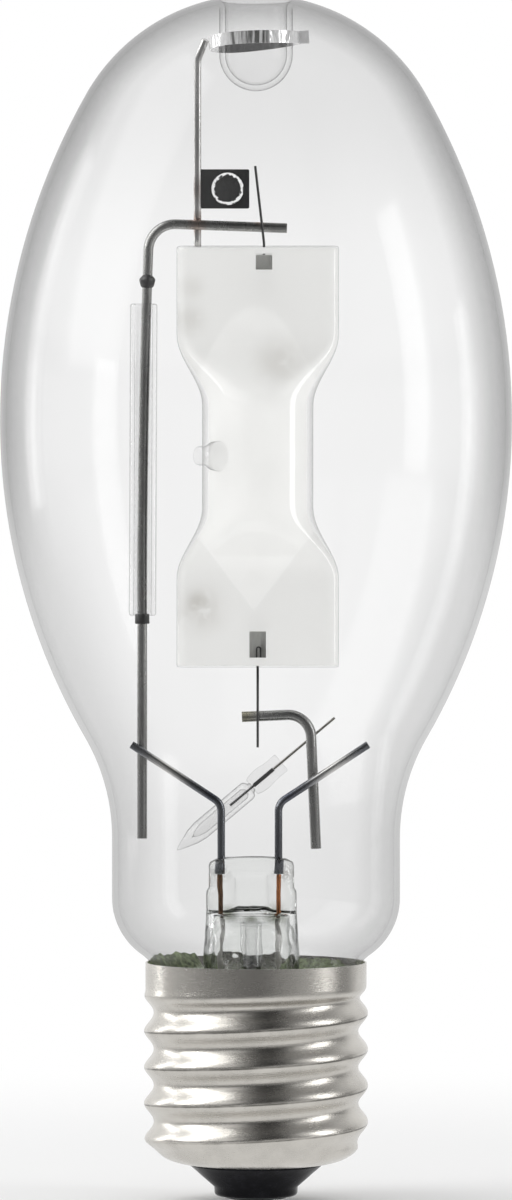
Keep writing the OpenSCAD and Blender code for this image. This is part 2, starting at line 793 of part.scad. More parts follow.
module getter_pellet() {
  ring_r = getter_ring_d / 2;
  rim_r = ring_r - 0.1 - seat_gap;
  color("black")
    translate([top_wire_x + getter_ring_x, getter_y, getter_z])
      rotate([-90, 0, 0])
        rotate_extrude()
          polygon([
            [0, -0.1], [rim_r - 0.6, -0.1], [rim_r - 0.5, -0.35], [rim_r - 0.15, -0.35],
            [rim_r, -0.2], [rim_r, getter_t + 0.1], [0, getter_t + 0.1]
          ]);
}

module return_rod() {
  color("gray")
    translate([return_x, return_y, return_foot_z])
      rotate([0, -return_lean, 0])
        bent_rod(return_d, [
          [return_l, return_bend_r, -90],
          [return_arm_l, 0, 0]
        ]);
}

// Slots in a pinch for the foil, the lead wire and the electrode
module pinch_slots(foil_x) {
  slack = 2 * seat_gap;
  translate([foil_x - foil_w / 2 - seat_gap, -foil_t / 2 - seat_gap, -foil_inset - foil_l - seat_gap])
    cube([foil_w + slack, foil_t + slack, foil_l + slack]);
  translate([foil_x, 0, -foil_inset])
    cylinder(d = wire_d + slack, h = foil_inset + cut);
  translate([foil_x, 0, chamber_l / 2 - arc_l / 2 - 2 * cut])
    cylinder(d = electrode_d + slack, h = (arc_l - chamber_l) / 2 - foil_inset - foil_l + 2 * cut);
}

module arc_tube() {
  half = arc_l / 2;
  full = half - pinch_l;
  out_h = concat([half], [for (i = [0:8]) full - flatten_l * i / 8]);
  in_h = concat(
    [for (i = [0:5]) chamber_l / 2 - arch_h * (1 - cos(18 * i))],
    [for (i = [1:7]) full - flatten_l * i / 8]
  );
  stub_l = stub_reach - quartz_d / 2;
  color("whitesmoke", 0.8)
    difference() {
      union() {
        translate([arc_x, arc_y, arc_z])
          loft([for (h = concat(-out_h, turned(out_h)))
            let (d = quartz_depth(h))
            slab_section(flattened_w(quartz_d / 2, d), d, h)]);
        translate([arc_x, arc_y, arc_z])
          rotate([90, 0, 180 + stub_turn + 90])
            translate([0, 0, quartz_d / 2 - quartz_t])
              cylinder(d1 = stub_root_d, d2 = stub_tip_d, h = stub_l + quartz_t);
      }
      translate([arc_x, arc_y, arc_z])
        loft([for (h = concat(-in_h, turned(in_h))) chamber_section(h)]);
      at_pinch(1) pinch_slots(top_foil_x);
      at_pinch(-1) pinch_slots(0);
    }
}

// A molybdenum foil sealed in a pinch
module foil(side, x) {
  color("darkgray")
    at_pinch(side)
      translate([x - foil_w / 2, -foil_t / 2, -foil_inset - foil_l])
        cube([foil_w, foil_t, foil_l]);
}

module top_foil() {
  foil(1, top_foil_x);
}

module bottom_foil() {
  foil(-1, 0);
}

// The lead wires leave the pinches and are welded across the rods' arms
module top_lead_wire() {
  pin_l = foil_inset + 0.5;
  color("black")
    at_pinch(1)
      translate([top_foil_x, 0, seat_gap - foil_inset])
        bent_rod(wire_d, [
          [pin_l, 1.5, -wire_lean],
          [foil_inset + top_wire_out_l - pin_l, 0, 0]
        ]);
}

module bottom_lead_wire() {
  color("black")
    at_pinch(-1)
      translate([0, 0, seat_gap - foil_inset])
        cylinder(d = wire_d, h = foil_inset + bottom_wire_out_l);
}

// A tungsten rod with a few turns of wire near its tip
module electrode(side, x) {
  tail_l = (arc_l - chamber_l) / 2 - foil_inset - foil_l - seat_gap;
  turns = 6;
  color("slategray")
    at_pinch(side)
      translate([x, 0, -(arc_l - chamber_l) / 2 - electrode_l]) {
        cylinder(d = electrode_d, h = electrode_l + tail_l);
        for (i = [0:turns - 1])
          translate([0, 0, 1 + i * coil_wire_d * 1.1])
            rotate_extrude()
              translate([electrode_d / 2 + coil_wire_d * 0.3, 0])
                circle(d = coil_wire_d);
      }
}

module top_electrode() {
  electrode(1, top_foil_x);
}

module bottom_electrode() {
  electrode(-1, 0);
}

module starter_capsule() {
  r = capsule_d / 2;
  neck = 0.9;
  bore_r = r - capsule_t;
  color("azure", 0.5)
    along_capsule()
      difference() {
        union() {
          rotate_extrude()
            polygon(concat(
              [[0, 0]],
              arc([r - 6, capsule_tip_l], 6, -acos(1 - (r - 0.25) / 6), 0, 8),
              arc([r - neck, capsule_l - neck], neck, 0, 90, 15),
              [[0, capsule_l]]
            ));
          translate([-capsule_pinch_w / 2, -capsule_pinch_t / 2, capsule_l - neck])
            cube([capsule_pinch_w, capsule_pinch_t, capsule_pinch_l + neck]);
        }
        rotate_extrude()
          polygon(concat(
            [[0, capsule_tip_l - 1]],
            arc([bore_r - 4, capsule_tip_l + 1], 4, -25, 0, 8),
            arc([bore_r - 0.6, capsule_l - 1.6], 0.6, 0, 90, 15),
            [[0, capsule_l - 1]]
          ));
        translate([0, 0, capsule_l - 2])
          cylinder(d = starter_wire_d + 2 * seat_gap, h = capsule_pinch_l + 2 + cut);
        translate([-0.4, -0.1, capsule_l + 0.4])
          cube([0.8, 0.2, capsule_pinch_l - 2.4]);
      }
}

module starter_electrode() {
  color("dimgray")
    along_capsule() {
      translate([0, 0, capsule_l - 5]) cylinder(d = starter_wire_d, h = 5.45);
      translate([-0.35, -0.05, capsule_l + 0.45])
        cube([0.7, 0.1, capsule_pinch_l - 2.5]);
    }
}

module starter_wire() {
  color("gray")
    along_capsule()
      translate([0, 0, capsule_l + capsule_pinch_l - 2])
        cylinder(d = starter_wire_d, h = starter_wire_l + 2);
}

module base_cement() {
  top_z = rim_z + cement_proud;
  bottom_z = tail_end_z + 0.5;
  ring_r = thread_mid_r - thread_depth / 2 - sheet_t - facet_sag - seat_gap;
  skirt_r = skirt_d / 2 - sheet_t - facet_sag - seat_gap;
  shoulder_z = rim_z - skirt_h + 0.35;
  inner_r = tail_fillet_r - seat_gap;
  top_angle = asin((top_z - tail_z) / inner_r);
  inside = arc([tail_r + tail_fillet_r, tail_z], inner_r, 180 - top_angle, 180, 5);
  color("darkseagreen")
    rotate_extrude()
      polygon(concat(
        inside,
        [[tail_r + seat_gap, bottom_z], [ring_r, bottom_z]],
        [[ring_r, shoulder_z], [skirt_r, shoulder_z]],
        [[skirt_r, rim_z + 0.05], [inside[0][0] + 0.1, top_z - 0.4]]
      ));
}

module base_shell() {
  out_rows = shell_rows(0);
  in_rows = turned(shell_rows(sheet_t));
  color("silver")
    ring_loft([for (row = concat(out_rows, in_rows))
      [for (i = [0:shell_facets - 1])
        let (a = 360 * i / shell_facets, r = thread_r(row[0], row[1], a, row[2]))
        [r * cos(a), r * sin(a), row[1]]]]);
}

module base_insulator() {
  hole_r = outer_lead_d / 2 + 0.4;
  inner_t = sheet_t + seat_gap;
  color("black")
    rotate_extrude()
      polygon(concat(
        [[hole_r, contact_top_z + seat_gap], [contact_d / 2 + 0.2, contact_top_z + seat_gap]],
        [[insulator_nose_d / 2 - 0.4, contact_top_z + 0.4], [insulator_nose_d / 2, insulator_nose_z]],
        [[insulator_d / 2, shell_bottom_z - 0.3], [insulator_d / 2, shell_bottom_z + inner_t]],
        [for (i = [0:6]) let (a = 90 - 12 * i)
          [mouth_r + (roll_w - inner_t - 0.9) * cos(a), roll_top_z - (roll_h - inner_t) * sin(a)]],
        [[insulator_d / 2, insulator_top_z + 0.6], [hole_r, insulator_top_z - 1]]
      ));
}

module centre_contact() {
  hole_r = outer_lead_d / 2 + seat_gap;
  r = contact_d / 2;
  color("silver")
    rotate_extrude()
      polygon([
        [hole_r, contact_top_z], [r - 0.2, contact_top_z], [r, contact_top_z - 0.2],
        [r, contact_top_z - 0.35], [r - 0.8, solder_h + 0.15], [r - 2, solder_h], [hole_r, solder_h]
      ]);
}

module contact_solder() {
  r = solder_flat_d / 2;
  top_z = solder_h - seat_gap;
  color("lightgray")
    rotate_extrude()
      polygon([[0, 0], [r, 0], [r + 0.35, top_z / 3], [r + 0.55, top_z], [0, top_z]]);
}

outer_bulb();
stem();
exhaust_tube();
left_support_lead();
right_support_lead();
left_seal_wire();
right_seal_wire();
shell_lead_wire();
contact_lead_wire();
frame_rod();
rod_sleeve();
sleeve_bead();
sleeve_collar();
top_support_wire();
dome_strap();
getter_plate();
getter_pellet();
return_rod();
arc_tube();
top_foil();
bottom_foil();
top_lead_wire();
bottom_lead_wire();
top_electrode();
bottom_electrode();
starter_capsule();
starter_electrode();
starter_wire();
base_cement();
base_shell();
base_insulator();
centre_contact();
contact_solder();
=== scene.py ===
"""Metal halide lamp: the visual model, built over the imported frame."""

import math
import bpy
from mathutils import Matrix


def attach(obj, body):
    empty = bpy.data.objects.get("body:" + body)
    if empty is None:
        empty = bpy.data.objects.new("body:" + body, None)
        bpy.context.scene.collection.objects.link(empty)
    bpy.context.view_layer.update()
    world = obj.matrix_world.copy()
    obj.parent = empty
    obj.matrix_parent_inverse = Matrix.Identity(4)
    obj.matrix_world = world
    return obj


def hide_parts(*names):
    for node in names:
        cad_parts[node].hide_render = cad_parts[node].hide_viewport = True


bl_info = {
    "name": "Metal halide lamp",
    "version": (1, 0, 0),
    "blender": (4, 5, 0),
    "location": "3D View > Sidebar > Lamp",
    "description": "Builds a clear metal halide lamp on its screw base",
    "category": "Add Mesh",
}

import bmesh
import bpy
from bpy.props import FloatProperty, FloatVectorProperty, PointerProperty
from mathutils import Matrix, Vector

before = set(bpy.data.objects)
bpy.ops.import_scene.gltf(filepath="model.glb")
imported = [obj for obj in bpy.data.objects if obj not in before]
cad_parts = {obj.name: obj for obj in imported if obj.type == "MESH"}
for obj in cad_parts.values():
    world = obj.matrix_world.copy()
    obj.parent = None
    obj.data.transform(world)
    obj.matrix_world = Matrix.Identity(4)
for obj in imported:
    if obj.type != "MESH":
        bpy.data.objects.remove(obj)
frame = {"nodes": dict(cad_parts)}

MM = 0.001
BODY = "root"
UP = Vector((0, 0, 1))
RIGHT = Vector((1, 0, 0))
AWAY = Vector((0, 1, 0))

# Where the leads stand in the press, and where the frame rods and the getter are, in mm
LEAD_X = {"left": -6.1, "right": 3.95}
ROD_Y = 1.6
WELD_Z = 172
GETTER_X, GETTER_Z = -5, 178.1
COLLAR_Z = 101.5
SLEEVE_Z = 103.35


# Drawing


def turn(degrees):
    return math.radians(degrees)


def swing(from_r, convex_r, to_r, concave_r):
    """The angle through which an outline swings in from a convex arc to a concave one."""
    return math.acos(1 - (from_r - to_r) / (convex_r + concave_r))


def ease(x):
    """A smooth rise from 0 to 1 while x goes from 0 to 1."""
    x = min(1, max(0, x))
    return 0.5 - 0.5 * math.cos(math.pi * x)


class Outline:
    """A line in the upright plane, drawn on from its tip and then spun round the axis."""

    def __init__(self, x, z):
        self.bm = bmesh.new()
        self.tip = self.bm.verts.new((x, 0, z))

    def _extend(self):
        made = bmesh.ops.extrude_vert_indiv(self.bm, verts=[self.tip])
        self.tip = made["verts"][0]

    def to(self, x, z):
        self._extend()
        self.tip.co = (x, 0, z)
        return self

    def arc(self, x, z, angle, steps):
        """Goes round a centre; a positive angle is clockwise, seen from the front."""
        step = Matrix.Rotation(angle / steps, 4, "Y")
        for _ in range(steps):
            self._extend()
            bmesh.ops.rotate(self.bm, verts=[self.tip], cent=(x, 0, z), matrix=step)
        return self

    def spun(self, steps=96):
        bm = self.bm
        bmesh.ops.spin(
            bm,
            geom=bm.verts[:] + bm.edges[:],
            cent=(0, 0, 0),
            axis=(0, 0, 1),
            angle=math.tau,
            steps=steps,
            use_merge=True,
        )
        return tidy(bm)


def tidy(bm):
    """Closes the seams and poles and turns the faces outwards."""
    bmesh.ops.remove_doubles(bm, verts=bm.verts[:], dist=1e-7)
    bmesh.ops.dissolve_degenerate(bm, edges=bm.edges[:], dist=1e-7)
    bmesh.ops.recalc_face_normals(bm, faces=bm.faces[:])
    return bm


def soften(bm, edges, width, segments=2):
    bmesh.ops.bevel(
        bm,
        geom=edges,
        offset=width,
        offset_type="OFFSET",
        affect="EDGES",
        segments=segments,
        profile=0.5,
        material=-1,
    )


class Rod:
    """A round rod, pulled out of a circle in straight lengths and bends."""

    def __init__(self, diameter, start, along=UP, side=RIGHT, segments=24):
        self.bm = bmesh.new()
        self.place = Vector(start)
        self.along = Vector(along).normalized()
        self.side = Vector(side).normalized()
        self.diameter = diameter
        ring = bmesh.ops.create_circle(
            self.bm, cap_ends=False, segments=segments, radius=diameter / 2
        )
        lie = self.along.to_track_quat("Z", "Y").to_matrix().to_4x4()
        place = Matrix.Translation(self.place) @ lie
        bmesh.ops.transform(self.bm, matrix=place, verts=ring["verts"])
        self.first = self.bm.edges[:]
        self.last = self.first

    def straight(self, length, scale=1):
        made = bmesh.ops.extrude_edge_only(self.bm, edges=self.last)["geom"]
        ring = [v for v in made if isinstance(v, bmesh.types.BMVert)]
        self.last = [e for e in made if isinstance(e, bmesh.types.BMEdge)]
        self.place = self.place + self.along * length
        bmesh.ops.translate(self.bm, verts=ring, vec=self.along * length)
        if scale != 1:
            here = Matrix.Translation(self.place)
            grow = here @ Matrix.Scale(scale, 4) @ here.inverted()
            bmesh.ops.transform(self.bm, matrix=grow, verts=ring)
        return self

    def bend(self, radius, angle, steps=10):
        """Bends towards the side by an angle in degrees, or away from it if negative."""
        side = self.side if angle > 0 else -self.side
        axis = self.along.cross(side)
        centre = self.place + side * radius
        angle = turn(abs(angle))
        verts = list({v for e in self.last for v in e.verts})
        made = bmesh.ops.spin(
            self.bm,
            geom=verts + self.last,
            cent=centre,
            axis=axis,
            angle=angle,
            steps=steps,
            use_merge=False,
        )["geom_last"]
        self.last = [e for e in made if isinstance(e, bmesh.types.BMEdge)]
        swung = Matrix.Rotation(angle, 3, axis)
        self.place = centre + swung @ (self.place - centre)
        self.along = swung @ self.along
        self.side = swung @ self.side
        return self

    def closed(self, burr=0.08 * MM):
        ends = []
        for ring in (self.first, self.last):
            live = [e for e in ring if e.is_valid]
            made = bmesh.ops.edgeloop_fill(self.bm, edges=live)["faces"]
            ends += [e for f in made for e in f.edges]
        tidy(self.bm)
        soften(self.bm, [e for e in ends if e.is_valid], burr)
        return self.bm


def rings(heights, radius, segments):
    """A round column of rings, open at both ends, to be shaped point by point."""
    bm = bmesh.new()
    bmesh.ops.create_circle(bm, cap_ends=False, segments=segments, radius=radius)
    bmesh.ops.translate(bm, verts=bm.verts[:], vec=(0, 0, heights[0]))
    last = bm.edges[:]
    first = last
    for low, high in zip(heights, heights[1:]):
        made = bmesh.ops.extrude_edge_only(bm, edges=last)["geom"]
        ring = [v for v in made if isinstance(v, bmesh.types.BMVert)]
        last = [e for e in made if isinstance(e, bmesh.types.BMEdge)]
        bmesh.ops.translate(bm, verts=ring, vec=(0, 0, high - low))
    return bm, first, last


def slab(angle, w, d):
    """The point of a flattened round section at an angle: half width w, half depth d."""
    quarter = (w - d) + d * math.pi / 2
    share = abs(math.sin(angle))
    share = math.asin(min(1, share)) / (math.pi / 2)
    s = share * quarter
    if s < d * math.pi / 2:
        x, y = w - d + d * math.cos(s / d), d * math.sin(s / d)
    else:
        x, y = quarter - s, d
    return math.copysign(x, math.cos(angle)), math.copysign(y, math.sin(angle))


def joined(target, other):
    """Adds a second bmesh to the first."""
    scratch = bpy.data.meshes.new("scratch")
    other.to_mesh(scratch)
    other.free()
    target.from_mesh(scratch)
    bpy.data.meshes.remove(scratch)
    return target


def piece(name, bm, finish, nodes=(), sharp=35):
    """Puts a finished mesh in the scene, on the lamp's one body."""
    mesh = bpy.data.meshes.new(name)
    bm.to_mesh(mesh)
    bm.free()
    mesh.shade_smooth()
    mesh.set_sharp_from_angle(angle=turn(sharp))
    mesh.materials.append(finish)
    made = bpy.data.objects.new(name, mesh)
    bpy.context.scene.collection.objects.link(made)
    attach(made, BODY)
    if nodes:
        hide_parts(*nodes)
    return made


def dress(node, finish):
    """Gives a solid of the frame its finish."""
    mesh = frame["nodes"][node].data
    mesh.materials.clear()
    mesh.materials.append(finish)


# Finishes


# Brightness of the studio by the angle round the lamp, from the front to the right
ROOM = (
    (-180, 1.0),
    (-132, 0.85),
    (-115, 0.72),
    (-100, 0.56),
    (-88, 0.46),
    (-76, 0.38),
    (-58, 0.28),
    (-38, 0.2),
    (12, 0.16),
    (20, 0.3),
    (45, 0.4),
    (84, 0.52),
    (93, 0.22),
    (102, 0.26),
    (114, 0.34),
    (126, 0.8),
    (180, 1.0),
)
# The same above the horizon, with a soft box on the left and one on the right
BOXES = (
    (-180, 0.95),
    (-60, 0.95),
    (-38, 0.9),
    (-26, 0.68),
    (-15, 0.25),
    (-5, 0.06),
    (6, 0.02),
    (28, 0.02),
    (37, 0.14),
    (48, 0.48),
    (60, 0.8),
    (84, 0.75),
    (100, 0.4),
    (130, 0.6),
    (180, 0.95),
)


class Nodes:
    """A node tree under construction."""

    def __init__(self, tree):
        self.tree = tree

    def put(self, socket, value):
        if isinstance(value, bpy.types.NodeSocket):
            self.tree.links.new(value, socket)
        elif isinstance(value, (tuple, list)) and len(value) == 3:
            plain = socket.type == "VECTOR"
            socket.default_value = value if plain else (*value, 1)
        else:
            socket.default_value = value

    def add(self, kind, inputs=(), **options):
        node = self.tree.nodes.new("ShaderNode" + kind)
        for key, value in options.items():
            setattr(node, key, value)
        for key, value in dict(inputs).items():
            self.put(node.inputs[key], value)
        return node

    def place(self, scale=(1, 1, 1), origin=(0, 0, 0)):
        """Object coordinates in millimetres, moved to an origin and stretched."""
        where = self.add("TexCoord").outputs["Object"]
        size = tuple(s / MM for s in scale)
        shift = tuple(-o * s for o, s in zip(origin, size))
        moved = self.add("Mapping", {"Vector": where, "Location": shift, "Scale": size})
        return moved.outputs["Vector"]

    def noise(self, where, scale, detail=3, roughness=0.5, distortion=0):
        made = self.add(
            "TexNoise",
            {
                "Vector": where,
                "Scale": scale,
                "Detail": detail,
                "Roughness": roughness,
                "Distortion": distortion,
            },
        )
        return made.outputs["Fac"]

    def math(self, operation, *values, clamp=False):
        node = self.add("Math", dict(enumerate(values)), operation=operation)
        node.use_clamp = clamp
        return node.outputs[0]

    def span(self, value, low, high, to_low=0, to_high=1, smooth=True):
        kind = "SMOOTHSTEP" if smooth else "LINEAR"
        node = self.add(
            "MapRange",
            {
                "Value": value,
                "From Min": low,
                "From Max": high,
                "To Min": to_low,
                "To Max": to_high,
            },
            interpolation_type=kind,
        )
        return node.outputs["Result"]

    def band(self, value, start, full, fade, end):
        """A rise from 0 to 1, and a fall back to 0, as a value goes from start to end."""
        return self.math("MULTIPLY", self.span(value, start, full), self.span(value, end, fade))

    def between(self, value, low, high):
        """1 from a low value to a high one, with sharp ends, and 0 elsewhere."""
        over = self.math("GREATER_THAN", value, low)
        return self.math("MULTIPLY", over, self.math("LESS_THAN", value, high))

    def spots(self):
        """The object coordinates X, Y and Z, in millimetres."""
        return self.add("SeparateXYZ", {0: self.place()}).outputs

    def ramp(self, value, stops):
        node = self.add("ValToRGB", {"Fac": value})
        bar = node.color_ramp
        while len(bar.elements) < len(stops):
            bar.elements.new(0.5)
        for element, (at, colour) in zip(bar.elements, stops):
            element.position = at
            tone = colour if isinstance(colour, tuple) else (colour,) * 3
            element.color = (*tone, 1)
        return node.outputs["Color"]

    def mix(self, share, low, high):
        node = self.add("Mix", data_type="RGBA")
        self.put(node.inputs[0], share)
        self.put(node.inputs[6], low)
        self.put(node.inputs[7], high)
        return node.outputs[2]

    def blend(self, share, low, high):
        node = self.add("MixShader")
        self.put(node.inputs[0], share)
        self.tree.links.new(low, node.inputs[1])
        self.tree.links.new(high, node.inputs[2])
        return node.outputs[0]

    def add_up(self, one, other):
        node = self.add("AddShader")
        self.tree.links.new(one, node.inputs[0])
        self.tree.links.new(other, node.inputs[1])
        return node.outputs[0]

    def room(self, x, y, stops=ROOM):
        """The studio's brightness round the lamp: a dark front, white behind."""
        angle = self.math("ARCTAN2", x, self.math("MULTIPLY", y, -1))
        share = self.span(angle, -math.pi, math.pi, smooth=False)
        return self.ramp(share, [((at + 180) / 360, tone) for at, tone in stops])


class Finish(Nodes):
    """A material under construction, with its shader."""

    def __init__(self, name, **values):
        self.material = bpy.data.materials.new(name)
        self.material.use_nodes = True
        super().__init__(self.material.node_tree)
        self.shader = self.tree.nodes["Principled BSDF"]
        self.output = self.tree.nodes["Material Output"]
        for key, value in values.items():
            self.put(self.shader.inputs[key.replace("_", " ")], value)

    def colour(self, pattern):
        self.put(self.shader.inputs["Base Color"], pattern)

    def rough(self, pattern):
        self.put(self.shader.inputs["Roughness"], pattern)

    def bump(self, height, strength, distance):
        node = self.add(
            "Bump", {"Height": height, "Strength": strength, "Distance": distance * MM}
        )
        self.put(self.shader.inputs["Normal"], node.outputs["Normal"])
        return node.outputs["Normal"]

    def spot(self, centre, radius):
        """1 at a place on the object, given in millimetres, and 0 beyond a radius."""
        away = self.add(
            "VectorMath", {0: self.place(), 1: centre}, operation="DISTANCE"
        ).outputs["Value"]
        return self.span(away, 0, radius, 1, 0)

    def shows(self, surface):
        self.tree.links.new(surface, self.output.inputs["Surface"])
        return self.material


def clear_glass(name, tones, gloss, roughness, wave=0, lower=None):
    """Thin clear glass: it reflects more as it turns away, and its tone darkens there, partly the
    glass's own loss and partly painted shade at the rims.
    """
    f = Finish(name)
    turned = {"Blend": 0.5}
    if wave:
        ripple = f.noise(f.place(), wave, 2)
        height = f.add("Bump", {"Height": ripple, "Strength": 0.5, "Distance": 0.3 * MM})
        turned["Normal"] = height.outputs["Normal"]
    facing = f.add("LayerWeight", turned).outputs["Facing"]
    path = f.add("LightPath").outputs
    lights = f.math("MAXIMUM", path["Is Shadow Ray"], path["Is Diffuse Ray"])
    # Painted shade: the tone darkens as the glass turns away, partly the glass's own loss at
    # grazing angles.
    tone = f.ramp(facing, tones)
    if lower:
        # Painted shade by height: lower tones below the belly, and darker towards the dome and the
        # neck.
        z = f.spots()["Z"]
        tone = f.mix(f.span(z, 102, 136), f.ramp(facing, lower), tone)
        ends = f.math("MAXIMUM", f.span(z, 162, 196), f.span(z, 86, 60))
        tone = f.mix(f.math("MULTIPLY", ends, 0.065), tone, (0, 0, 0))
    tone = f.mix(lights, tone, (1, 1, 1))
    through = f.add("BsdfTransparent", {"Color": tone}).outputs[0]
    rough = f.noise(f.place(), 0.05, 2)
    rough = f.span(rough, 0.3, 0.7, roughness * 0.6, roughness * 1.4)
    mirror = f.add("BsdfGlossy", {"Color": (1, 1, 1), "Roughness": rough})
    share = f.math("MULTIPLY", f.ramp(facing, gloss), f.math("SUBTRACT", 1, lights))
    return f.shows(f.blend(share, through, mirror.outputs[0]))


def solid_glass(name, colour, edge, ior, wave, lead_marks_and_painted_refraction=()):
    """Thick glass that bends what is seen through it, and lets the lamps through; its colour is
    painted darker as it turns away, a painted shade at its edges.
    """
    f = Finish(name, Transmission_Weight=1, IOR=ior, Roughness=0.01)
    ripple = f.bump(f.noise(f.place(), wave, 1), 0.6, 0.4)
    facing = f.add("LayerWeight", {"Blend": 0.5, "Normal": ripple}).outputs["Facing"]
    # Painted shade: the colour turns to the dark edge colour as the glass turns away.
    tone = f.mix(f.span(facing, 0.35, 0.8), colour, edge)
    swirl = f.noise(f.place(), 0.9, 3, 0.6, 1.5)
    # Given marks, some of them painted refraction, blended over the glass's colour.
    for centre, radius, low, high, tint in lead_marks_and_painted_refraction:
        mark = f.math("MULTIPLY", f.spot(centre, radius), f.span(swirl, low, high))
        tone = f.mix(mark, tone, tint)
    f.colour(tone)
    path = f.add("LightPath")
    plain = f.math("MAXIMUM", path.outputs["Is Shadow Ray"], path.outputs["Is Diffuse Ray"])
    through = f.add("BsdfTransparent", {"Color": colour}).outputs[0]
    return f.shows(f.blend(plain, f.shader.outputs[0], through))


def drawn_metal(name, colour, dark, roughness, tints_and_highlights=(), metal=1):
    """Drawn wire, with fine streaks, dull patches and spots of given colour: the colours of heat
    at its welds, a painted highlight on the leads' arms and a darker bluish spot at their bends.
    """
    f = Finish(name, Metallic=metal)
    patches = f.noise(f.place((1, 1, 0.3)), 0.3, 4, 0.6)
    streaks = f.noise(f.place((1, 1, 0.02)), 4, 3)
    tone = f.mix(f.span(patches, 0.4, 0.8), colour, dark)
    for centre, radius, tint in tints_and_highlights:
        tone = f.mix(f.spot(centre, radius), tone, tint)
    f.colour(tone)
    rough = f.span(patches, 0.3, 0.7, roughness * 0.8, roughness * 1.3)
    f.rough(rough)
    f.bump(streaks, 0.1, 0.01)
    return f.material


# Sizes and colours that may be changed


class LampBulb(bpy.types.PropertyGroup):
    height: FloatProperty(
        name="Height", description="Top of the dome", default=0.211, unit="LENGTH"
    )
    diameter: FloatProperty(
        name="Diameter", description="Widest place", default=0.08974, unit="LENGTH"
    )
    wall: FloatProperty(
        name="Wall", description="Thickness of the glass", default=0.001, unit="LENGTH"
    )
    dimple: FloatProperty(
        name="Dimple", description="Bore of the dimple", default=0.0109, unit="LENGTH"
    )
    dimple_depth: FloatProperty(
        name="Dimple depth",
        description="Depth of the dimple below the dome",
        default=0.015,
        unit="LENGTH",
    )
    rim_tone: FloatProperty(
        name="Rim tone",
        description="How much light the glass passes where it turns away",
        default=0.66,
        subtype="FACTOR",
    )


class LampBase(bpy.types.PropertyGroup):
    thread: FloatProperty(
        name="Thread", description="Diameter over the crests", default=0.0393, unit="LENGTH"
    )
    depth: FloatProperty(
        name="Depth", description="Depth of the thread", default=0.0017, unit="LENGTH"
    )
    pitch: FloatProperty(
        name="Pitch", description="Pitch of the thread", default=0.00635, unit="LENGTH"
    )
    start: FloatProperty(
        name="Start",
        description="Height of a crest on the right-hand side",
        default=0.0143,
        unit="LENGTH",
    )
    nickel: FloatVectorProperty(
        name="Nickel",
        description="Colour of the shell",
        default=(0.66, 0.635, 0.59),
        subtype="COLOR",
    )
    cement: FloatVectorProperty(
        name="Cement",
        description="Colour of the cement",
        default=(0.17, 0.21, 0.11),
        subtype="COLOR",
    )
    insulator: FloatVectorProperty(
        name="Insulator",
        description="Colour of the glass insulator",
        default=(0.004, 0.004, 0.005),
        subtype="COLOR",
    )


class LampFrame(bpy.types.PropertyGroup):
    rod: FloatProperty(
        name="Rod", description="Diameter of the frame rod", default=0.00175, unit="LENGTH"
    )
    lead: FloatProperty(
        name="Lead", description="Diameter of the leads", default=0.00135, unit="LENGTH"
    )
    return_rod: FloatProperty(
        name="Return rod",
        description="Diameter of the return rod",
        default=0.00185,
        unit="LENGTH",
    )
    steel: FloatVectorProperty(
        name="Steel",
        description="Colour of the rods",
        default=(0.42, 0.42, 0.41),
        subtype="COLOR",
    )
    dull: FloatVectorProperty(
        name="Dull steel",
        description="Colour of the rods' dull patches",
        default=(0.24, 0.24, 0.235),
        subtype="COLOR",
    )


class LampArcTube(bpy.types.PropertyGroup):
    length: FloatProperty(
        name="Length", description="Over the pinches", default=0.0739, unit="LENGTH"
    )
    diameter: FloatProperty(
        name="Diameter", description="Quartz tube", default=0.0195, unit="LENGTH"
    )
    pinch: FloatProperty(
        name="Pinch", description="Thickness of the pinches", default=0.0038, unit="LENGTH"
    )
    frost: FloatVectorProperty(
        name="Frost",
        description="Colour of the frosted quartz",
        default=(0.93, 0.93, 0.915),
        subtype="COLOR",
    )
    soot: FloatVectorProperty(
        name="Soot",
        description="Colour of the salts' smudges",
        default=(0.27, 0.245, 0.2),
        subtype="COLOR",
    )


class LampStudio(bpy.types.PropertyGroup):
    distance: FloatProperty(
        name="Distance", description="Camera to the axis", default=1.0, unit="LENGTH"
    )
    height: FloatProperty(
        name="Height", description="Height of the camera", default=0.11, unit="LENGTH"
    )
    lens: FloatProperty(name="Lens", description="Focal length", default=171, unit="CAMERA")
    key: FloatProperty(
        name="Key lamp", description="Power of the key lamp", default=8, unit="POWER"
    )
    fill: FloatProperty(
        name="Fill lamp", description="Power of the fill lamp", default=2, unit="POWER"
    )
    strip: FloatProperty(
        name="Strip lamp", description="Power of the strip behind", default=1.2, unit="POWER"
    )
    daylight: FloatProperty(
        name="Soft light",
        description="Strength of the light from all round",
        default=0.78,
        subtype="FACTOR",
    )


class LampSettings(bpy.types.PropertyGroup):
    bulb: PointerProperty(type=LampBulb, name="Bulb", description="The outer bulb")
    base: PointerProperty(type=LampBase, name="Base", description="The screw base")
    frame: PointerProperty(type=LampFrame, name="Frame", description="The wire frame")
    arc: PointerProperty(type=LampArcTube, name="Arc tube", description="The arc tube")
    studio: PointerProperty(type=LampStudio, name="Studio", description="The studio")


class LampPiece:
    """What all the lamp's operators share."""

    bl_options = {"REGISTER", "UNDO"}

    def execute(self, context):
        self.build(context.scene.lamp)
        return {"FINISHED"}


# The bulb


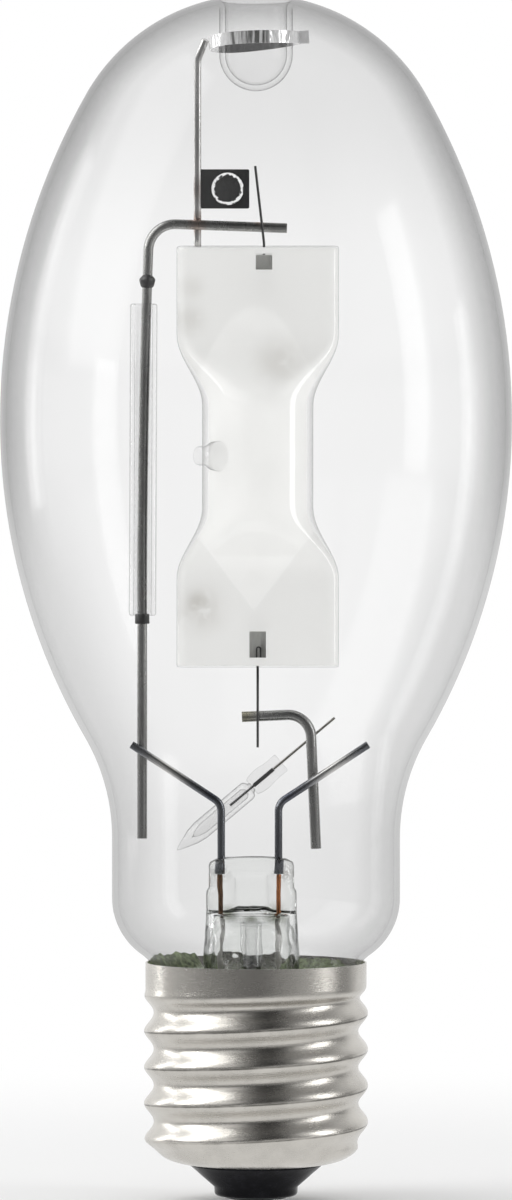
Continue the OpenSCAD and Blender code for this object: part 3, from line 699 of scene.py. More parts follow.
class LAMP_OT_outer_bulb(LampPiece, bpy.types.Operator):
    """Spin the clear bulb, with the dimple in its dome"""

    bl_idname = "lamp.outer_bulb"
    bl_label = "Outer bulb"

    def build(self, lamp):
        s = lamp.bulb
        inner = self.outline(s, s.wall).spun(144)
        bmesh.ops.reverse_faces(inner, faces=inner.faces[:])
        for face in inner.faces:
            face.material_index = 1
        bm = joined(self.outline(s, 0).spun(144), inner)
        foot = bmesh.ops.bridge_loops(bm, edges=[e for e in bm.edges if e.is_boundary])
        over = [f for f in foot["faces"] if f.normal.z > 0]
        bmesh.ops.reverse_faces(bm, faces=over)
        for face in bm.faces:
            spot = face.calc_center_median()
            if spot.z > s.height - s.dimple_depth - 2 * MM and spot.xy.length < s.dimple / 2 + MM:
                face.material_index = 2
        made = piece("Outer_bulb", bm, self.glass(s), ["outer_bulb"], sharp=50)
        tones = [(0, 0.995), (0.7, 0.99), (0.9, 0.96), (1, 0.85)]
        gloss = [(0, 0.008), (0.5, 0.02), (0.8, 0.06), (1, 0.3)]
        made.data.materials.append(clear_glass("Inner face of the bulb", tones, gloss, 0.05))
        tones = [(0, 1.0), (0.5, 0.985), (0.72, 0.9), (0.88, 0.62), (1, 0.2)]
        gloss = [(0, 0.01), (0.6, 0.02), (0.9, 0.15), (1, 0.3)]
        made.data.materials.append(clear_glass("Dimple glass", tones, gloss, 0.04, 0.25))

    def glass(self, s):
        """Clear glass, greyer round the dome and the neck than at the belly: painted shade, laid
        by height.
        """
        rim = s.rim_tone
        upper = [
            (0, 0.96),
            (0.33, 0.955),
            (0.44, 0.945),
            (0.53, 0.85),
            (0.61, 0.76),
            (0.68, 0.71),
            (0.75, rim),
            (0.82, rim - 0.03),
            (0.93, rim + 0.02),
            (1, 0.4),
        ]
        lower = [
            (0, 0.965),
            (0.28, 0.94),
            (0.42, 0.885),
            (0.52, 0.85),
            (0.62, 0.83),
            (0.8, 0.77),
            (0.93, 0.76),
            (1, 0.5),
        ]
        gloss = [(0, 0.012), (0.4, 0.02), (0.6, 0.045), (0.8, 0.1), (0.92, 0.2), (1, 0.45)]
        return clear_glass("Clear bulb glass", upper, gloss, 0.13, lower=lower)

    def outline(self, s, t):
        """The arcs of the bulb, each tangent to the next, a distance t inside."""
        r, top = s.diameter / 2, s.height
        pit_r, lip_r, nose_r = s.dimple / 2, 1.5 * MM, 34.2 * MM
        shoulder_r, belly_r = 116 * MM, 111 * MM
        fillet_r, neck_r = 35 * MM, 25.25 * MM
        turn_z, turn_r = 53.5 * MM, 12 * MM
        tail_r, tail_fillet_r, tail_end = 16.9 * MM, 7.6 * MM, 31 * MM
        lip_x = pit_r + lip_r
        lip_rise = math.sqrt((nose_r - lip_r) ** 2 - lip_x**2)
        nose_z = top - lip_r - lip_rise
        shoulder_x = r - shoulder_r
        nose_rise = math.sqrt((shoulder_r - nose_r) ** 2 - shoulder_x**2)
        middle = nose_z - nose_rise
        lip_angle = math.atan2(lip_rise, lip_x)
        nose_angle = math.atan2(nose_rise, -shoulder_x)
        neck_angle = swing(r, belly_r, neck_r, fillet_r)
        neck_z = middle - (belly_r + fillet_r) * math.sin(neck_angle)
        tail_angle = swing(neck_r, turn_r, tail_r, tail_fillet_r)
        tail_z = turn_z - (turn_r + tail_fillet_r) * math.sin(tail_angle)
        pit_z = top - s.dimple_depth + pit_r
        line = Outline(0, pit_z - pit_r - t)
        line.arc(0, pit_z, -math.pi / 2, 20)
        line.to(pit_r + t, top - lip_r)
        line.arc(lip_x, top - lip_r, math.pi - lip_angle, 12)
        line.arc(0, nose_z, lip_angle - nose_angle, 28)
        line.arc(shoulder_x, middle, nose_angle, 20)
        line.arc(r - belly_r, middle, neck_angle, 24)
        line.arc(neck_r + fillet_r, neck_z, -neck_angle, 16)
        line.to(neck_r - t, turn_z)
        line.arc(neck_r - turn_r, turn_z, tail_angle, 14)
        line.arc(tail_r + tail_fillet_r, tail_z, -tail_angle, 14)
        line.to(tail_r - t, tail_end)
        return line


# The screw base


class LAMP_OT_screw_base(LampPiece, bpy.types.Operator):
    """Roll the threaded shell, and make its cement, insulator, contact and solder"""

    bl_idname = "lamp.screw_base"
    bl_label = "Screw base"

    rim_z = 42.2 * MM
    skirt_h = 4 * MM
    skirt_r = 19.4 * MM
    bottom_z = 7.1 * MM
    mouth_r = 12 * MM
    roll_h = 4.9 * MM
    sheet = 0.3 * MM
    fade_h = 2.8 * MM

    def build(self, lamp):
        s = lamp.base
        self.shell(s)
        self.cement(s)
        self.insulator(s)
        self.contact(s)

    def shell(self, s):
        mid_r = (s.thread - s.depth) / 2
        top = self.rim_z - self.skirt_h
        roll_z = self.bottom_z + self.roll_h
        roll_w = mid_r - self.mouth_r
        line = Outline(self.skirt_r, self.rim_z)
        rows = 64
        for i in range(rows + 1):
            z = top - (top - roll_z) * i / rows
            f = ease((top - z) / self.fade_h)
            line.to(self.skirt_r + (mid_r - self.skirt_r) * f, z)
        for i in range(1, 13):
            a = math.pi / 2 * i / 12
            line.to(self.mouth_r + roll_w * math.cos(a), roll_z - self.roll_h * math.sin(a))
        bm = line.spun(160)
        for v in bm.verts:
            r = math.hypot(v.co.x, v.co.y)
            f = ease((top - v.co.z) / self.fade_h)
            f *= ease((v.co.z - self.bottom_z - 1 * MM) / self.fade_h)
            way = math.atan2(v.co.y, v.co.x)
            phase = math.tau * (v.co.z - s.start) / s.pitch - way
            grow = (r + s.depth / 2 * f * rolled(phase)) / r
            v.co.x *= grow
            v.co.y *= grow
        bmesh.ops.solidify(bm, geom=bm.faces[:], thickness=self.sheet)
        piece("Threaded_shell", bm, self.nickel(s), ["base_shell"], sharp=50)

    def nickel(self, s):
        """Satin nickel, brushed round the shell, with a dull film and a painted dark reflection
        just under each crest.
        """
        colour = tuple(s.nickel)
        f = Finish("Satin nickel", Metallic=1)
        grain = f.noise(f.place((0.12, 0.12, 1)), 6, 4, 0.65)
        film = f.noise(f.place(), 0.16, 4, 0.6)
        dull = tuple(c * 0.88 for c in colour)
        tone = f.mix(f.span(film, 0.35, 0.7), colour, dull)
        spot = f.spots()
        way = f.math("DIVIDE", f.math("ARCTAN2", spot["Y"], spot["X"]), math.tau)
        climb = f.math("DIVIDE", f.math("SUBTRACT", spot["Z"], s.start / MM), s.pitch / MM)
        turns = f.math("ADD", f.math("SUBTRACT", climb, way), 0.5)
        crest = f.math("SUBTRACT", f.math("FRACT", turns), 0.5)
        # Painted dark reflection: a dark line just under each crest, varied by the film, over the
        # threaded part.
        crest_dark_reflection = f.band(crest, -0.075, -0.04, -0.03, -0.005)
        crest_dark_reflection = f.math("MULTIPLY", crest_dark_reflection, f.span(film, 0.3, 0.6, 0.25, 0.85))
        threaded = f.band(spot["Z"], 11, 13, 35.5, 37)
        tone = f.mix(f.math("MULTIPLY", crest_dark_reflection, threaded), tone, (0.09, 0.085, 0.075))
        f.colour(tone)
        rough = f.math("ADD", f.span(film, 0.3, 0.7, 0.22, 0.28), f.span(grain, 0, 1, -0.03, 0.05))
        f.rough(rough)
        f.bump(grain, 0.8, 0.035)
        return f.material

    def cement(self, s):
        """A rough green ring between the glass and the shell, with an uneven top."""
        tail_r, fillet_r, tail_z = 16.9 * MM, 7.55 * MM, 37.45 * MM
        top = self.rim_z + 0.7 * MM
        angle = math.asin((top - tail_z) / fillet_r)
        line = Outline(17.5 * MM, 31.5 * MM)
        line.to(17.5 * MM, self.rim_z - 3.7 * MM).to(18.95 * MM, self.rim_z - 3.5 * MM)
        line.to(18.95 * MM, self.rim_z - 0.4 * MM)
        x = tail_r + 7.6 * MM - fillet_r * math.cos(angle)
        line.to(x + 0.05 * MM, top - 0.3 * MM).to(x, top)
        line.arc(tail_r + 7.6 * MM, tail_z, -angle, 12)
        line.to(tail_r + 0.05 * MM, 31.5 * MM).to(17.5 * MM, 31.5 * MM)
        bm = line.spun(240)
        for v in bm.verts:
            way = math.degrees(math.atan2(v.co.x, v.co.y))
            full = ease((way + 84) / 12) * ease((-26 - way) / 10)
            full = max(full, 0.75 * ease((way - 14) / 8) * ease((62 - way) / 12))
            full = max(full, 0.5 * ease((way + 168) / 10) * ease((-128 - way) / 14))
            rough = 0.2 * math.sin(way * 0.37) + 0.14 * math.sin(way * 0.91 + 1)
            drop = (3.7 * (1 - full) - rough * full) * MM
            v.co.z -= drop * ease((v.co.z - self.rim_z + 3 * MM) / (3.7 * MM))
        f = Finish("Basing cement", Roughness=0.85)
        specks = f.noise(f.place(), 1.3, 5, 0.75)
        colour = tuple(s.cement)
        dark = tuple(c * 0.4 for c in colour)
        light = tuple(min(1, c * 1.9) for c in colour)
        tone = f.mix(f.span(specks, 0.45, 0.65), colour, light)
        f.colour(f.mix(f.span(specks, 0.48, 0.36), tone, dark))
        f.bump(specks, 0.4, 0.2)
        piece("Basing_cement", bm, f.material, ["base_cement"])

    def insulator(self, s):
        """Pressed black glass with rounded edges."""
        floor = self.bottom_z
        line = Outline(0.9 * MM, 1.25 * MM)
        line.to(5.75 * MM, 1.25 * MM).to(6.6 * MM, 1.3 * MM)
        line.arc(6.6 * MM, 2.0 * MM, -turn(80), 5)
        line.to(7.35 * MM, 2.9 * MM).to(11.6 * MM, floor - 0.45 * MM)
        line.arc(11.4 * MM, floor - 0.15 * MM, -turn(45), 4)
        line.to(11.8 * MM, floor + 0.36 * MM).to(16.4 * MM, floor + 2.1 * MM)
        line.to(16.9 * MM, floor + 3.7 * MM).to(11.9 * MM, floor + 4.8 * MM)
        line.to(0.9 * MM, floor + 3.2 * MM).to(0.9 * MM, 1.25 * MM)
        bm = line.spun(96)
        f = Finish("Black pressed glass", Specular_IOR_Level=0.06)
        flow = f.noise(f.place(), 0.5, 4, 0.6)
        colour = tuple(s.insulator)
        grey = tuple(c * 2 for c in colour)
        f.colour(f.mix(f.span(flow, 0.4, 0.75), colour, grey))
        f.rough(f.span(flow, 0.3, 0.7, 0.16, 0.3))
        f.bump(flow, 0.3, 0.15)
        piece("Glass_insulator", bm, f.material, ["base_insulator"], sharp=60)

    def contact(self, s):
        """The contact disc, and the drop of solder that closes its hole."""
        line = Outline(0.5 * MM, 1.15 * MM)
        line.to(5.2 * MM, 1.15 * MM)
        line.arc(5.2 * MM, 0.9 * MM, turn(110), 6)
        line.to(4.6 * MM, 0.5 * MM).to(3.4 * MM, 0.35 * MM).to(0.5 * MM, 0.35 * MM)
        line.to(0.5 * MM, 1.15 * MM)
        disc = line.spun(72)
        f = Finish("Worn contact nickel", Metallic=1)
        wear = f.noise(f.place(), 0.9, 4, 0.6)
        f.colour(f.ramp(wear, [(0.3, 0.5), (0.7, 0.3)]))
        f.rough(f.span(wear, 0.3, 0.7, 0.25, 0.45))
        f.bump(wear, 0.3, 0.05)
        piece("Centre_contact", disc, f.material, ["centre_contact"])
        line = Outline(0, 0)
        line.to(2.3 * MM, 0).arc(2.3 * MM, 0.32 * MM, -turn(60), 5)
        line.to(3.05 * MM, 0.3 * MM).to(0, 0.3 * MM)
        drop = line.spun(64)
        for v in drop.verts:
            v.co.x *= 1 + 0.03 * math.sin(3 * math.atan2(v.co.y, v.co.x))
        f = Finish("Solder", Metallic=1)
        skin = f.noise(f.place(), 1.2, 4, 0.6)
        f.colour(f.ramp(skin, [(0.3, 0.62), (0.7, 0.45)]))
        f.rough(f.span(skin, 0.3, 0.7, 0.2, 0.4))
        f.bump(skin, 0.5, 0.06)
        piece("Contact_solder", drop, f.material, ["contact_solder"])


def rolled(phase):
    """A rolled thread: its crests are a little narrower than its hollows."""
    return math.cos(phase + 0.06 * math.sin(phase))


# The stem and what it carries


class LAMP_OT_stem(LampPiece, bpy.types.Operator):
    """Shape the glass stem with its flare, its press and its exhaust tube"""

    bl_idname = "lamp.stem"
    bl_label = "Stem"

    offset = 0.8 * MM
    press_top = 60.6 * MM

    def build(self, lamp):
        brown, olive = (0.12, 0.1, 0.08), (0.13, 0.15, 0.09)
        # Dark brown marks round the leads where they meet the seal wires; the olive marks are
        # painted refraction, an olive band across the stem.
        lead_marks_and_painted_refraction = (
            ((LEAD_X["left"], -1.5, 58), 2.6, 0.4, 0.55, brown),
            ((4.6, -1.5, 58), 2.8, 0.4, 0.55, brown),
            ((-4.8, -3, 50.9), 2.4, 0.25, 0.5, olive),
            ((3.4, -3, 50.6), 3.2, 0.25, 0.5, olive),
            ((-0.8, -3, 49.4), 1.9, 0.2, 0.45, olive),
        )
        glass = solid_glass(
            "Stem glass", (0.97, 0.98, 0.97), (0.05, 0.06, 0.05), 1.46, 0.3, lead_marks_and_painted_refraction
        )
        body = self.shaped(0, 64)
        hollow = self.shaped(1.1 * MM, 48)
        bmesh.ops.reverse_faces(hollow, faces=hollow.faces[:])
        bm = joined(body, hollow)
        piece("Stem", bm, glass, ["stem"], sharp=60)
        self.exhaust()

    def shaped(self, t, segments):
        low, flare, start, press = 31 * MM, 40 * MM, 46.5 * MM, 51.5 * MM
        top = self.press_top if t == 0 else press - 1.1 * MM
        tube_r, flare_r = 8.2 * MM - t, 15.8 * MM - t
        heights = [low + (flare - low) * i / 9 for i in range(9)]
        heights += [flare + (start - flare) * i / 6 for i in range(6)]
        heights += [start + (press - start) * i / 10 for i in range(11)]
        if t == 0:
            heights += [press + (top - press) * i / 14 for i in range(1, 15)]
        else:
            heights = [h for h in heights if h < top] + [top]
        bm, first, last = rings(heights, 1 * MM, segments)
        for v in bm.verts:
            h = v.co.z
            angle = math.atan2(v.co.y, v.co.x)
            shift = self.offset
            if h < flare:
                f = (h - low) / (flare - low)
                spread = 1 - math.sin(math.pi / 2 * f)
                w = d = tube_r + (flare_r - tube_r) * spread
                shift *= 1 - spread
            elif h < start:
                belly = math.sin(math.pi * (h - flare) / (start - flare))
                w = d = tube_r + 0.25 * MM * belly
            else:
                f = ease((h - start) / (press - start))
                w = tube_r + (7.95 * MM - t - tube_r) * f
                d = tube_r + (2.6 * MM - t - tube_r) * f
            if t == 0 and h > 54.6 * MM:
                w -= 0.45 * MM * ease((h - 54.6 * MM) / (0.6 * MM))
            if t == 0 and h > top - 1.4 * MM:
                f = (h - top + 1.4 * MM) / (1.4 * MM)
                round_off = 1 - math.sqrt(max(0, 1 - f * f))
                w -= 1.4 * MM * round_off
                d -= 1.4 * MM * round_off
            x, y = slab(angle, w, d)
            if t == 0 and h > press - 1 * MM and abs(x) < 4.4 * MM:
                deep = ease((h - press + 1 * MM) / (2 * MM)) * ease((59 * MM - h) / (1.2 * MM))
                deep *= ease((3.9 * MM - abs(x)) / (1.2 * MM))
                y -= math.copysign(0.75 * MM * deep, y)
            if t == 0 and h > press:
                f = (h - press) / (top - press)
                h += 0.35 * MM * f * (1 - (x / w) ** 2) - 0.2 * MM * f
            v.co = (x - shift, y, h)
        bmesh.ops.edgeloop_fill(bm, edges=[e for e in last if e.is_valid])
        bmesh.ops.edgeloop_fill(bm, edges=[e for e in first if e.is_valid])
        return tidy(bm)

    def exhaust(self):
        r, wall = 1.9 * MM, 0.7 * MM
        line = Outline(0, 23 * MM)
        line.arc(0, 24.9 * MM, -turn(90), 8)
        line.to(r, 48.6 * MM).arc(r - 0.35 * MM, 48.6 * MM, -math.pi, 6)
        line.to(r - wall, 25.2 * MM).arc(0, 25.2 * MM, turn(90), 8)
        bm = line.spun(40)
        bmesh.ops.translate(bm, verts=bm.verts[:], vec=(-self.offset, 0, 0))
        tones = [(0, 0.985), (0.5, 0.95), (0.75, 0.8), (0.9, 0.6), (1, 0.4)]
        glass = clear_glass("Exhaust tube glass", tones, [(0, 0.04), (1, 0.4)], 0.04)
        piece("Exhaust_tube", bm, glass, ["exhaust_tube"], sharp=60)


class LAMP_OT_leads(LampPiece, bpy.types.Operator):
    """Bend the support leads and the wires that pass through the stem"""

    bl_idname = "lamp.leads"
    bl_label = "Leads"

    def build(self, lamp):
        s = lamp.frame
        steel, dark, pale = (0.22, 0.23, 0.25), (0.12, 0.125, 0.14), (0.9, 0.89, 0.87)
        foot, corner, bend_r, lean = 57.7 * MM, 70 * MM, 2.5 * MM, 56.7
        turn_l = bend_r * math.tan(turn(lean) / 2)
        for name, side in (("left", -1), ("right", 1)):
            x = LEAD_X[name]
            knee = Vector((x + side * 9.5, 0, 76.2))
            # A painted highlight: the pale spot midway along each arm; and a darker bluish spot at
            # the bend.
            tints_and_highlights = [
                (knee, 6.5, pale),
                (Vector((x + side * 1.5, 0, 71.5)), 2.5, (0.1, 0.11, 0.14)),
            ]
            metal = drawn_metal("Blued lead steel " + name, steel, dark, 0.2, tints_and_highlights)
            rod = Rod(s.lead, (x * MM, 0, foot), UP, RIGHT * side)
            rod.straight(corner - turn_l - foot).bend(bend_r, lean, 12).straight(17.5 * MM)
            node = name + "_support_lead"
            piece("Support_lead_" + name, rod.closed(), metal, [node])
        copper = drawn_metal("Seal copper", (0.42, 0.16, 0.06), (0.2, 0.07, 0.03), 0.35)
        brown = drawn_metal("Oxidised seal wire", (0.13, 0.07, 0.04), (0.06, 0.035, 0.02), 0.4)
        for name, finish in (("left", brown), ("right", copper)):
            rod = Rod(0.7 * MM, (LEAD_X[name] * MM, 0, 49.65 * MM), UP, RIGHT, 16)
            rod.straight(8 * MM)
            node = name + "_seal_wire"
            piece("Seal_wire_" + name, rod.closed(), finish, [node])
        grey = drawn_metal("Lead wire nickel", (0.4, 0.39, 0.37), (0.24, 0.23, 0.22), 0.35)
        dress("shell_lead_wire", grey)
        dress("contact_lead_wire", grey)


class LAMP_OT_frame_rods(LampPiece, bpy.types.Operator):
    """Bend the frame rod, the top support wire and the return rod"""

    bl_idname = "lamp.frame_rods"
    bl_label = "Frame rods"

    wire_x, wire_y = -10.3, 3.2

    def build(self, lamp):
        s = lamp.frame
        colour, dull = tuple(s.steel), tuple(s.dull)
        straw = (0.36, 0.25, 0.2)
        x, y = self.wire_x, self.wire_y
        tints_and_highlights = [((x, ROD_Y, WELD_Z), 2.6, straw), ((0.6, ROD_Y, WELD_Z), 1.5, straw)]
        steel = drawn_metal("Frame rod steel", colour, dull, 0.26, tints_and_highlights)
        rod = Rod(s.rod, (-20 * MM, ROD_Y * MM, 63.8 * MM))
        rod.straight(42 * MM).bend(1725 * MM, 2.04, 14)
        rod.bend(4.7 * MM, 90, 16).straight(19.5 * MM)
        piece("Frame_rod", rod.closed(), steel, ["frame_rod"])
        tints_and_highlights = [((x, y, WELD_Z), 3, straw), ((x, y, 178), 3.4, (0.4, 0.36, 0.34))]
        pale, worn = (0.8, 0.79, 0.78), (0.55, 0.55, 0.54)
        bright = drawn_metal("Support wire steel", pale, worn, 0.2, tints_and_highlights)
        slant = (RIGHT - AWAY).normalized()
        foot, bend_z = 167.6, 200.2
        wire = Rod(1.35 * MM, (x * MM, y * MM, foot * MM), UP, slant)
        wire.straight((bend_z - foot) * MM).bend(2 * MM, 31, 8).straight(3.4 * MM)
        piece("Top_support_wire", wire.closed(), bright, ["top_support_wire"])
        olive = (0.3, 0.28, 0.2)
        tints_and_highlights = [((-2, 1.65, 85.5), 3.2, olive)]
        steel = drawn_metal("Return rod steel", colour, dull, 0.26, tints_and_highlights)
        lean = Matrix.Rotation(-turn(2.5), 3, "Y")
        rod = Rod(s.return_rod, (10.54 * MM, 1.65 * MM, 62 * MM), lean @ UP, lean @ -RIGHT)
        rod.straight(19.7 * MM).bend(4 * MM, 90, 14).straight(8 * MM)
        piece("Return_rod", rod.closed(), steel, ["return_rod"])


class LAMP_OT_sleeve(LampPiece, bpy.types.Operator):
    """Slide the quartz sleeve on the frame rod, between its bead and its collar"""

    bl_idname = "lamp.sleeve"
    bl_label = "Quartz sleeve"

    def build(self, lamp):
        foot, length = SLEEVE_Z * MM, 54 * MM
        line = Outline(2.4 * MM, foot)
        line.to(2.4 * MM, foot + length).arc(2 * MM, foot + length, -turn(180), 8)
        line.to(1.6 * MM, foot).arc(2 * MM, foot, -turn(180), 8)
        bm = line.spun(48)
        lean = Matrix.Rotation(turn(0.25), 4, "Y")
        bmesh.ops.rotate(bm, verts=bm.verts[:], cent=(0, 0, foot), matrix=lean)
        bmesh.ops.translate(bm, verts=bm.verts[:], vec=(-19.95 * MM, ROD_Y * MM, 0))
        tones = [(0, 0.985), (0.5, 0.97), (0.75, 0.82), (0.9, 0.6), (1, 0.45)]
        gloss = [(0, 0.04), (0.6, 0.07), (0.85, 0.25), (1, 0.6)]
        quartz = clear_glass("Sleeve quartz", tones, gloss, 0.04)
        piece("Quartz_sleeve", bm, quartz, ["rod_sleeve"], sharp=60)
        dark = drawn_metal("Burnt nickel", (0.1, 0.1, 0.1), (0.035, 0.035, 0.035), 0.4)
        ball = bmesh.new()
        bmesh.ops.create_uvsphere(ball, u_segments=40, v_segments=24, radius=1.4 * MM)
        for v in ball.verts:
            bulge = 1 + 0.035 * math.sin(5 * v.co.z / MM) + 0.03 * math.cos(3 * v.co.x / MM)
            v.co *= bulge
            v.co.z *= 1.04
        where = (-19.1 * MM, ROD_Y * MM, 161.7 * MM)
        bmesh.ops.translate(ball, verts=ball.verts[:], vec=where)
        piece("Sleeve_bead", tidy(ball), dark, ["sleeve_bead"], sharp=60)
        bore_r, collar_r, low = 0.93 * MM, 1.275 * MM, COLLAR_Z * MM
        line = Outline(bore_r, low)
        line.to(1.1 * MM, low).arc(1.0 * MM, 101.8 * MM, -turn(60), 4)
        line.to(collar_r, 102.1 * MM).to(collar_r, 103.1 * MM)
        line.arc(1.1 * MM, 103.1 * MM, -turn(80), 4)
        line.to(bore_r, 103.3 * MM).to(bore_r, low)
        bm = line.spun(40)
        bmesh.ops.translate(bm, verts=bm.verts[:], vec=(-20 * MM, ROD_Y * MM, 0))
        piece("Sleeve_collar", bm, dark, ["sleeve_collar"])


class LAMP_OT_dome_strap(LampPiece, bpy.types.Operator):
    """Wrap the steel strap round the dimple"""

    bl_idname = "lamp.dome_strap"
    bl_label = "Dome strap"

    def build(self, lamp):
        r, h, sheet = 7.75 * MM, 2.2 * MM, 0.25 * MM
        gap = turn(5)
        bm = bmesh.new()
        low = bm.verts.new((r, 0, -h / 2))
        high = bm.verts.new((r, 0, h / 2))
        edge = bm.edges.new((low, high))
        bmesh.ops.rotate(
            bm, verts=[low, high], cent=(0, 0, 0), matrix=Matrix.Rotation(gap, 4, "Z")
        )
        bmesh.ops.spin(
            bm,
            geom=[low, high, edge],
            cent=(0, 0, 0),
            axis=(0, 0, 1),
            angle=math.tau - 2 * gap,
            steps=72,
            use_merge=False,
        )
        ends = [
            e for e in bm.edges
            if e.is_boundary and abs(e.verts[0].co.z - e.verts[1].co.z) > h / 2
        ]
        for end in ends:
            out = bmesh.ops.extrude_edge_only(bm, edges=[end])["geom"]
            ring = [v for v in out if isinstance(v, bmesh.types.BMVert)]
            side = 1 if ring[0].co.y > 0 else -1
            bmesh.ops.translate(bm, verts=ring, vec=(1.9 * MM, side * 0.2 * MM, 0))
        for v in bm.verts:
            v.co.z += 0.15 * MM * math.sin(2 * math.atan2(v.co.y, v.co.x))
        tidy(bm)
        bmesh.ops.solidify(bm, geom=bm.faces[:], thickness=sheet)
        tilt = Matrix.Rotation(-turn(4), 4, "Y")
        place = Matrix.Translation((-0.3 * MM, 0, 203.8 * MM)) @ tilt
        bmesh.ops.transform(bm, matrix=place, verts=bm.verts[:])
        f = Finish("Strap steel", Metallic=0.6)
        grain = f.noise(f.place(), 1.5, 4, 0.6)
        dents = f.noise(f.place((1, 1, 0.3)), 0.5, 3)
        tone = f.ramp(grain, [(0.3, 0.95), (0.7, 0.8)])
        spot = f.spots()
        # Painted shade: a dark streaky patch on the front of the strap, across its middle.
        painted_front_shade = f.band(spot["X"], -5.2, -3.8, 1.9, 2.5)
        painted_front_shade = f.math("MULTIPLY", painted_front_shade, f.span(spot["Y"], 0, -2))
        streaks = f.noise(f.place((1, 1, 0.05)), 1.4, 3, 0.6)
        painted_front_shade = f.math("MULTIPLY", painted_front_shade, f.span(streaks, 0.4, 0.56, 0.1, 0.9))
        f.colour(f.mix(painted_front_shade, tone, (0.06, 0.06, 0.055)))
        f.rough(f.span(grain, 0.3, 0.7, 0.1, 0.22))
        f.bump(dents, 0.9, 0.6)
        piece("Dome_strap", bm, f.material, ["dome_strap"])


class LAMP_OT_getter(LampPiece, bpy.types.Operator):
    """Make the getter's plate with its pressed ring"""

    bl_idname = "lamp.getter"
    bl_label = "Getter"

    def build(self, lamp):
        left, y, z = -10.98 * MM, 3.95 * MM, GETTER_Z * MM
        w, h, t = 9.8 * MM, 6.9 * MM, 0.4 * MM
        bm = bmesh.new()
        bmesh.ops.create_grid(bm, x_segments=26, y_segments=20, size=0.5)
        bmesh.ops.scale(bm, vec=(w, h, 1), verts=bm.verts[:])
        corners = [v for v in bm.verts if len(v.link_edges) == 2 and v.co.x > 0]
        bmesh.ops.bevel(
            bm,
            geom=corners,
            offset=0.8 * MM,
            offset_type="OFFSET",
            affect="VERTICES",
            segments=5,
            profile=0.5,
            material=-1,
        )
        tidy(bm)
        up = Matrix.Rotation(turn(90), 4, "X")
        bmesh.ops.rotate(bm, verts=bm.verts[:], cent=(0, 0, 0), matrix=up)
        bmesh.ops.solidify(bm, geom=bm.faces[:], thickness=t)
        bmesh.ops.translate(bm, verts=bm.verts[:], vec=(left + w / 2, y, z))
        plate = self.sintered("Getter plate", 0.028, 0.045, 0.55)
        piece("Getter_plate", bm, plate, ["getter_plate"], sharp=40)
        face, rim_r, foot = -0.22 * MM, 2.86 * MM, 0.55 * MM
        line = Outline(0, face)
        line.to(2.25 * MM, face).arc(2.55 * MM, -0.25 * MM, -turn(180), 10)
        line.to(rim_r, 0.1 * MM).to(rim_r, foot).to(0, foot)
        disc = line.spun(72)
        bmesh.ops.rotate(
            disc, verts=disc.verts[:], cent=(0, 0, 0), matrix=Matrix.Rotation(-turn(90), 4, "X")
        )
        for v in disc.verts:
            out = math.hypot(v.co.x, v.co.z)
            if out > 2.1 * MM:
                v.co.y += 0.05 * MM * math.sin(7 * math.atan2(v.co.z, v.co.x))
        bmesh.ops.translate(disc, verts=disc.verts[:], vec=(GETTER_X * MM, y, z))
        piece("Getter_pellet", disc, self.pressed(), ["getter_pellet"], sharp=40)

    def sintered(self, name, dark, light, roughness):
        f = Finish(name, Roughness=roughness, Metallic=0.4)
        grain = f.noise(f.place(), 4, 5, 0.7)
        f.colour(f.ramp(grain, [(0.3, dark), (0.75, light)]))
        f.bump(grain, 0.6, 0.06)
        return f.material

    def pressed(self):
        """Black powder inside a pressed rim, near-white and not metallic: its pale steel with a
        painted sheen.
        """
        f = Finish("Getter pellet")
        flat = f.place((1, 0, 1), (GETTER_X * MM, 0, GETTER_Z * MM))
        out = f.add("VectorMath", {0: flat}, operation="LENGTH").outputs["Value"]
        ragged = f.span(f.noise(f.place(), 1.6, 3), 0.3, 0.7, -0.2, 0.2)
        out = f.math("ADD", out, ragged)
        rim = f.band(out, 2.35, 2.5, 2.75, 2.95)
        grain = f.noise(f.place(), 5, 5, 0.7)
        powder = f.ramp(grain, [(0.3, 0.012), (0.75, 0.05)])
        # Painted sheen: the rim's steel is near-white and not metallic, partly its own pale steel.
        steel = f.ramp(grain, [(0.3, 1), (0.62, 0.85), (0.8, 0.35)])
        f.colour(f.mix(rim, powder, steel))
        f.rough(f.span(rim, 0, 1, 0.7, 0.4))
        f.bump(grain, 0.7, 0.08)
        return f.material


# The arc tube


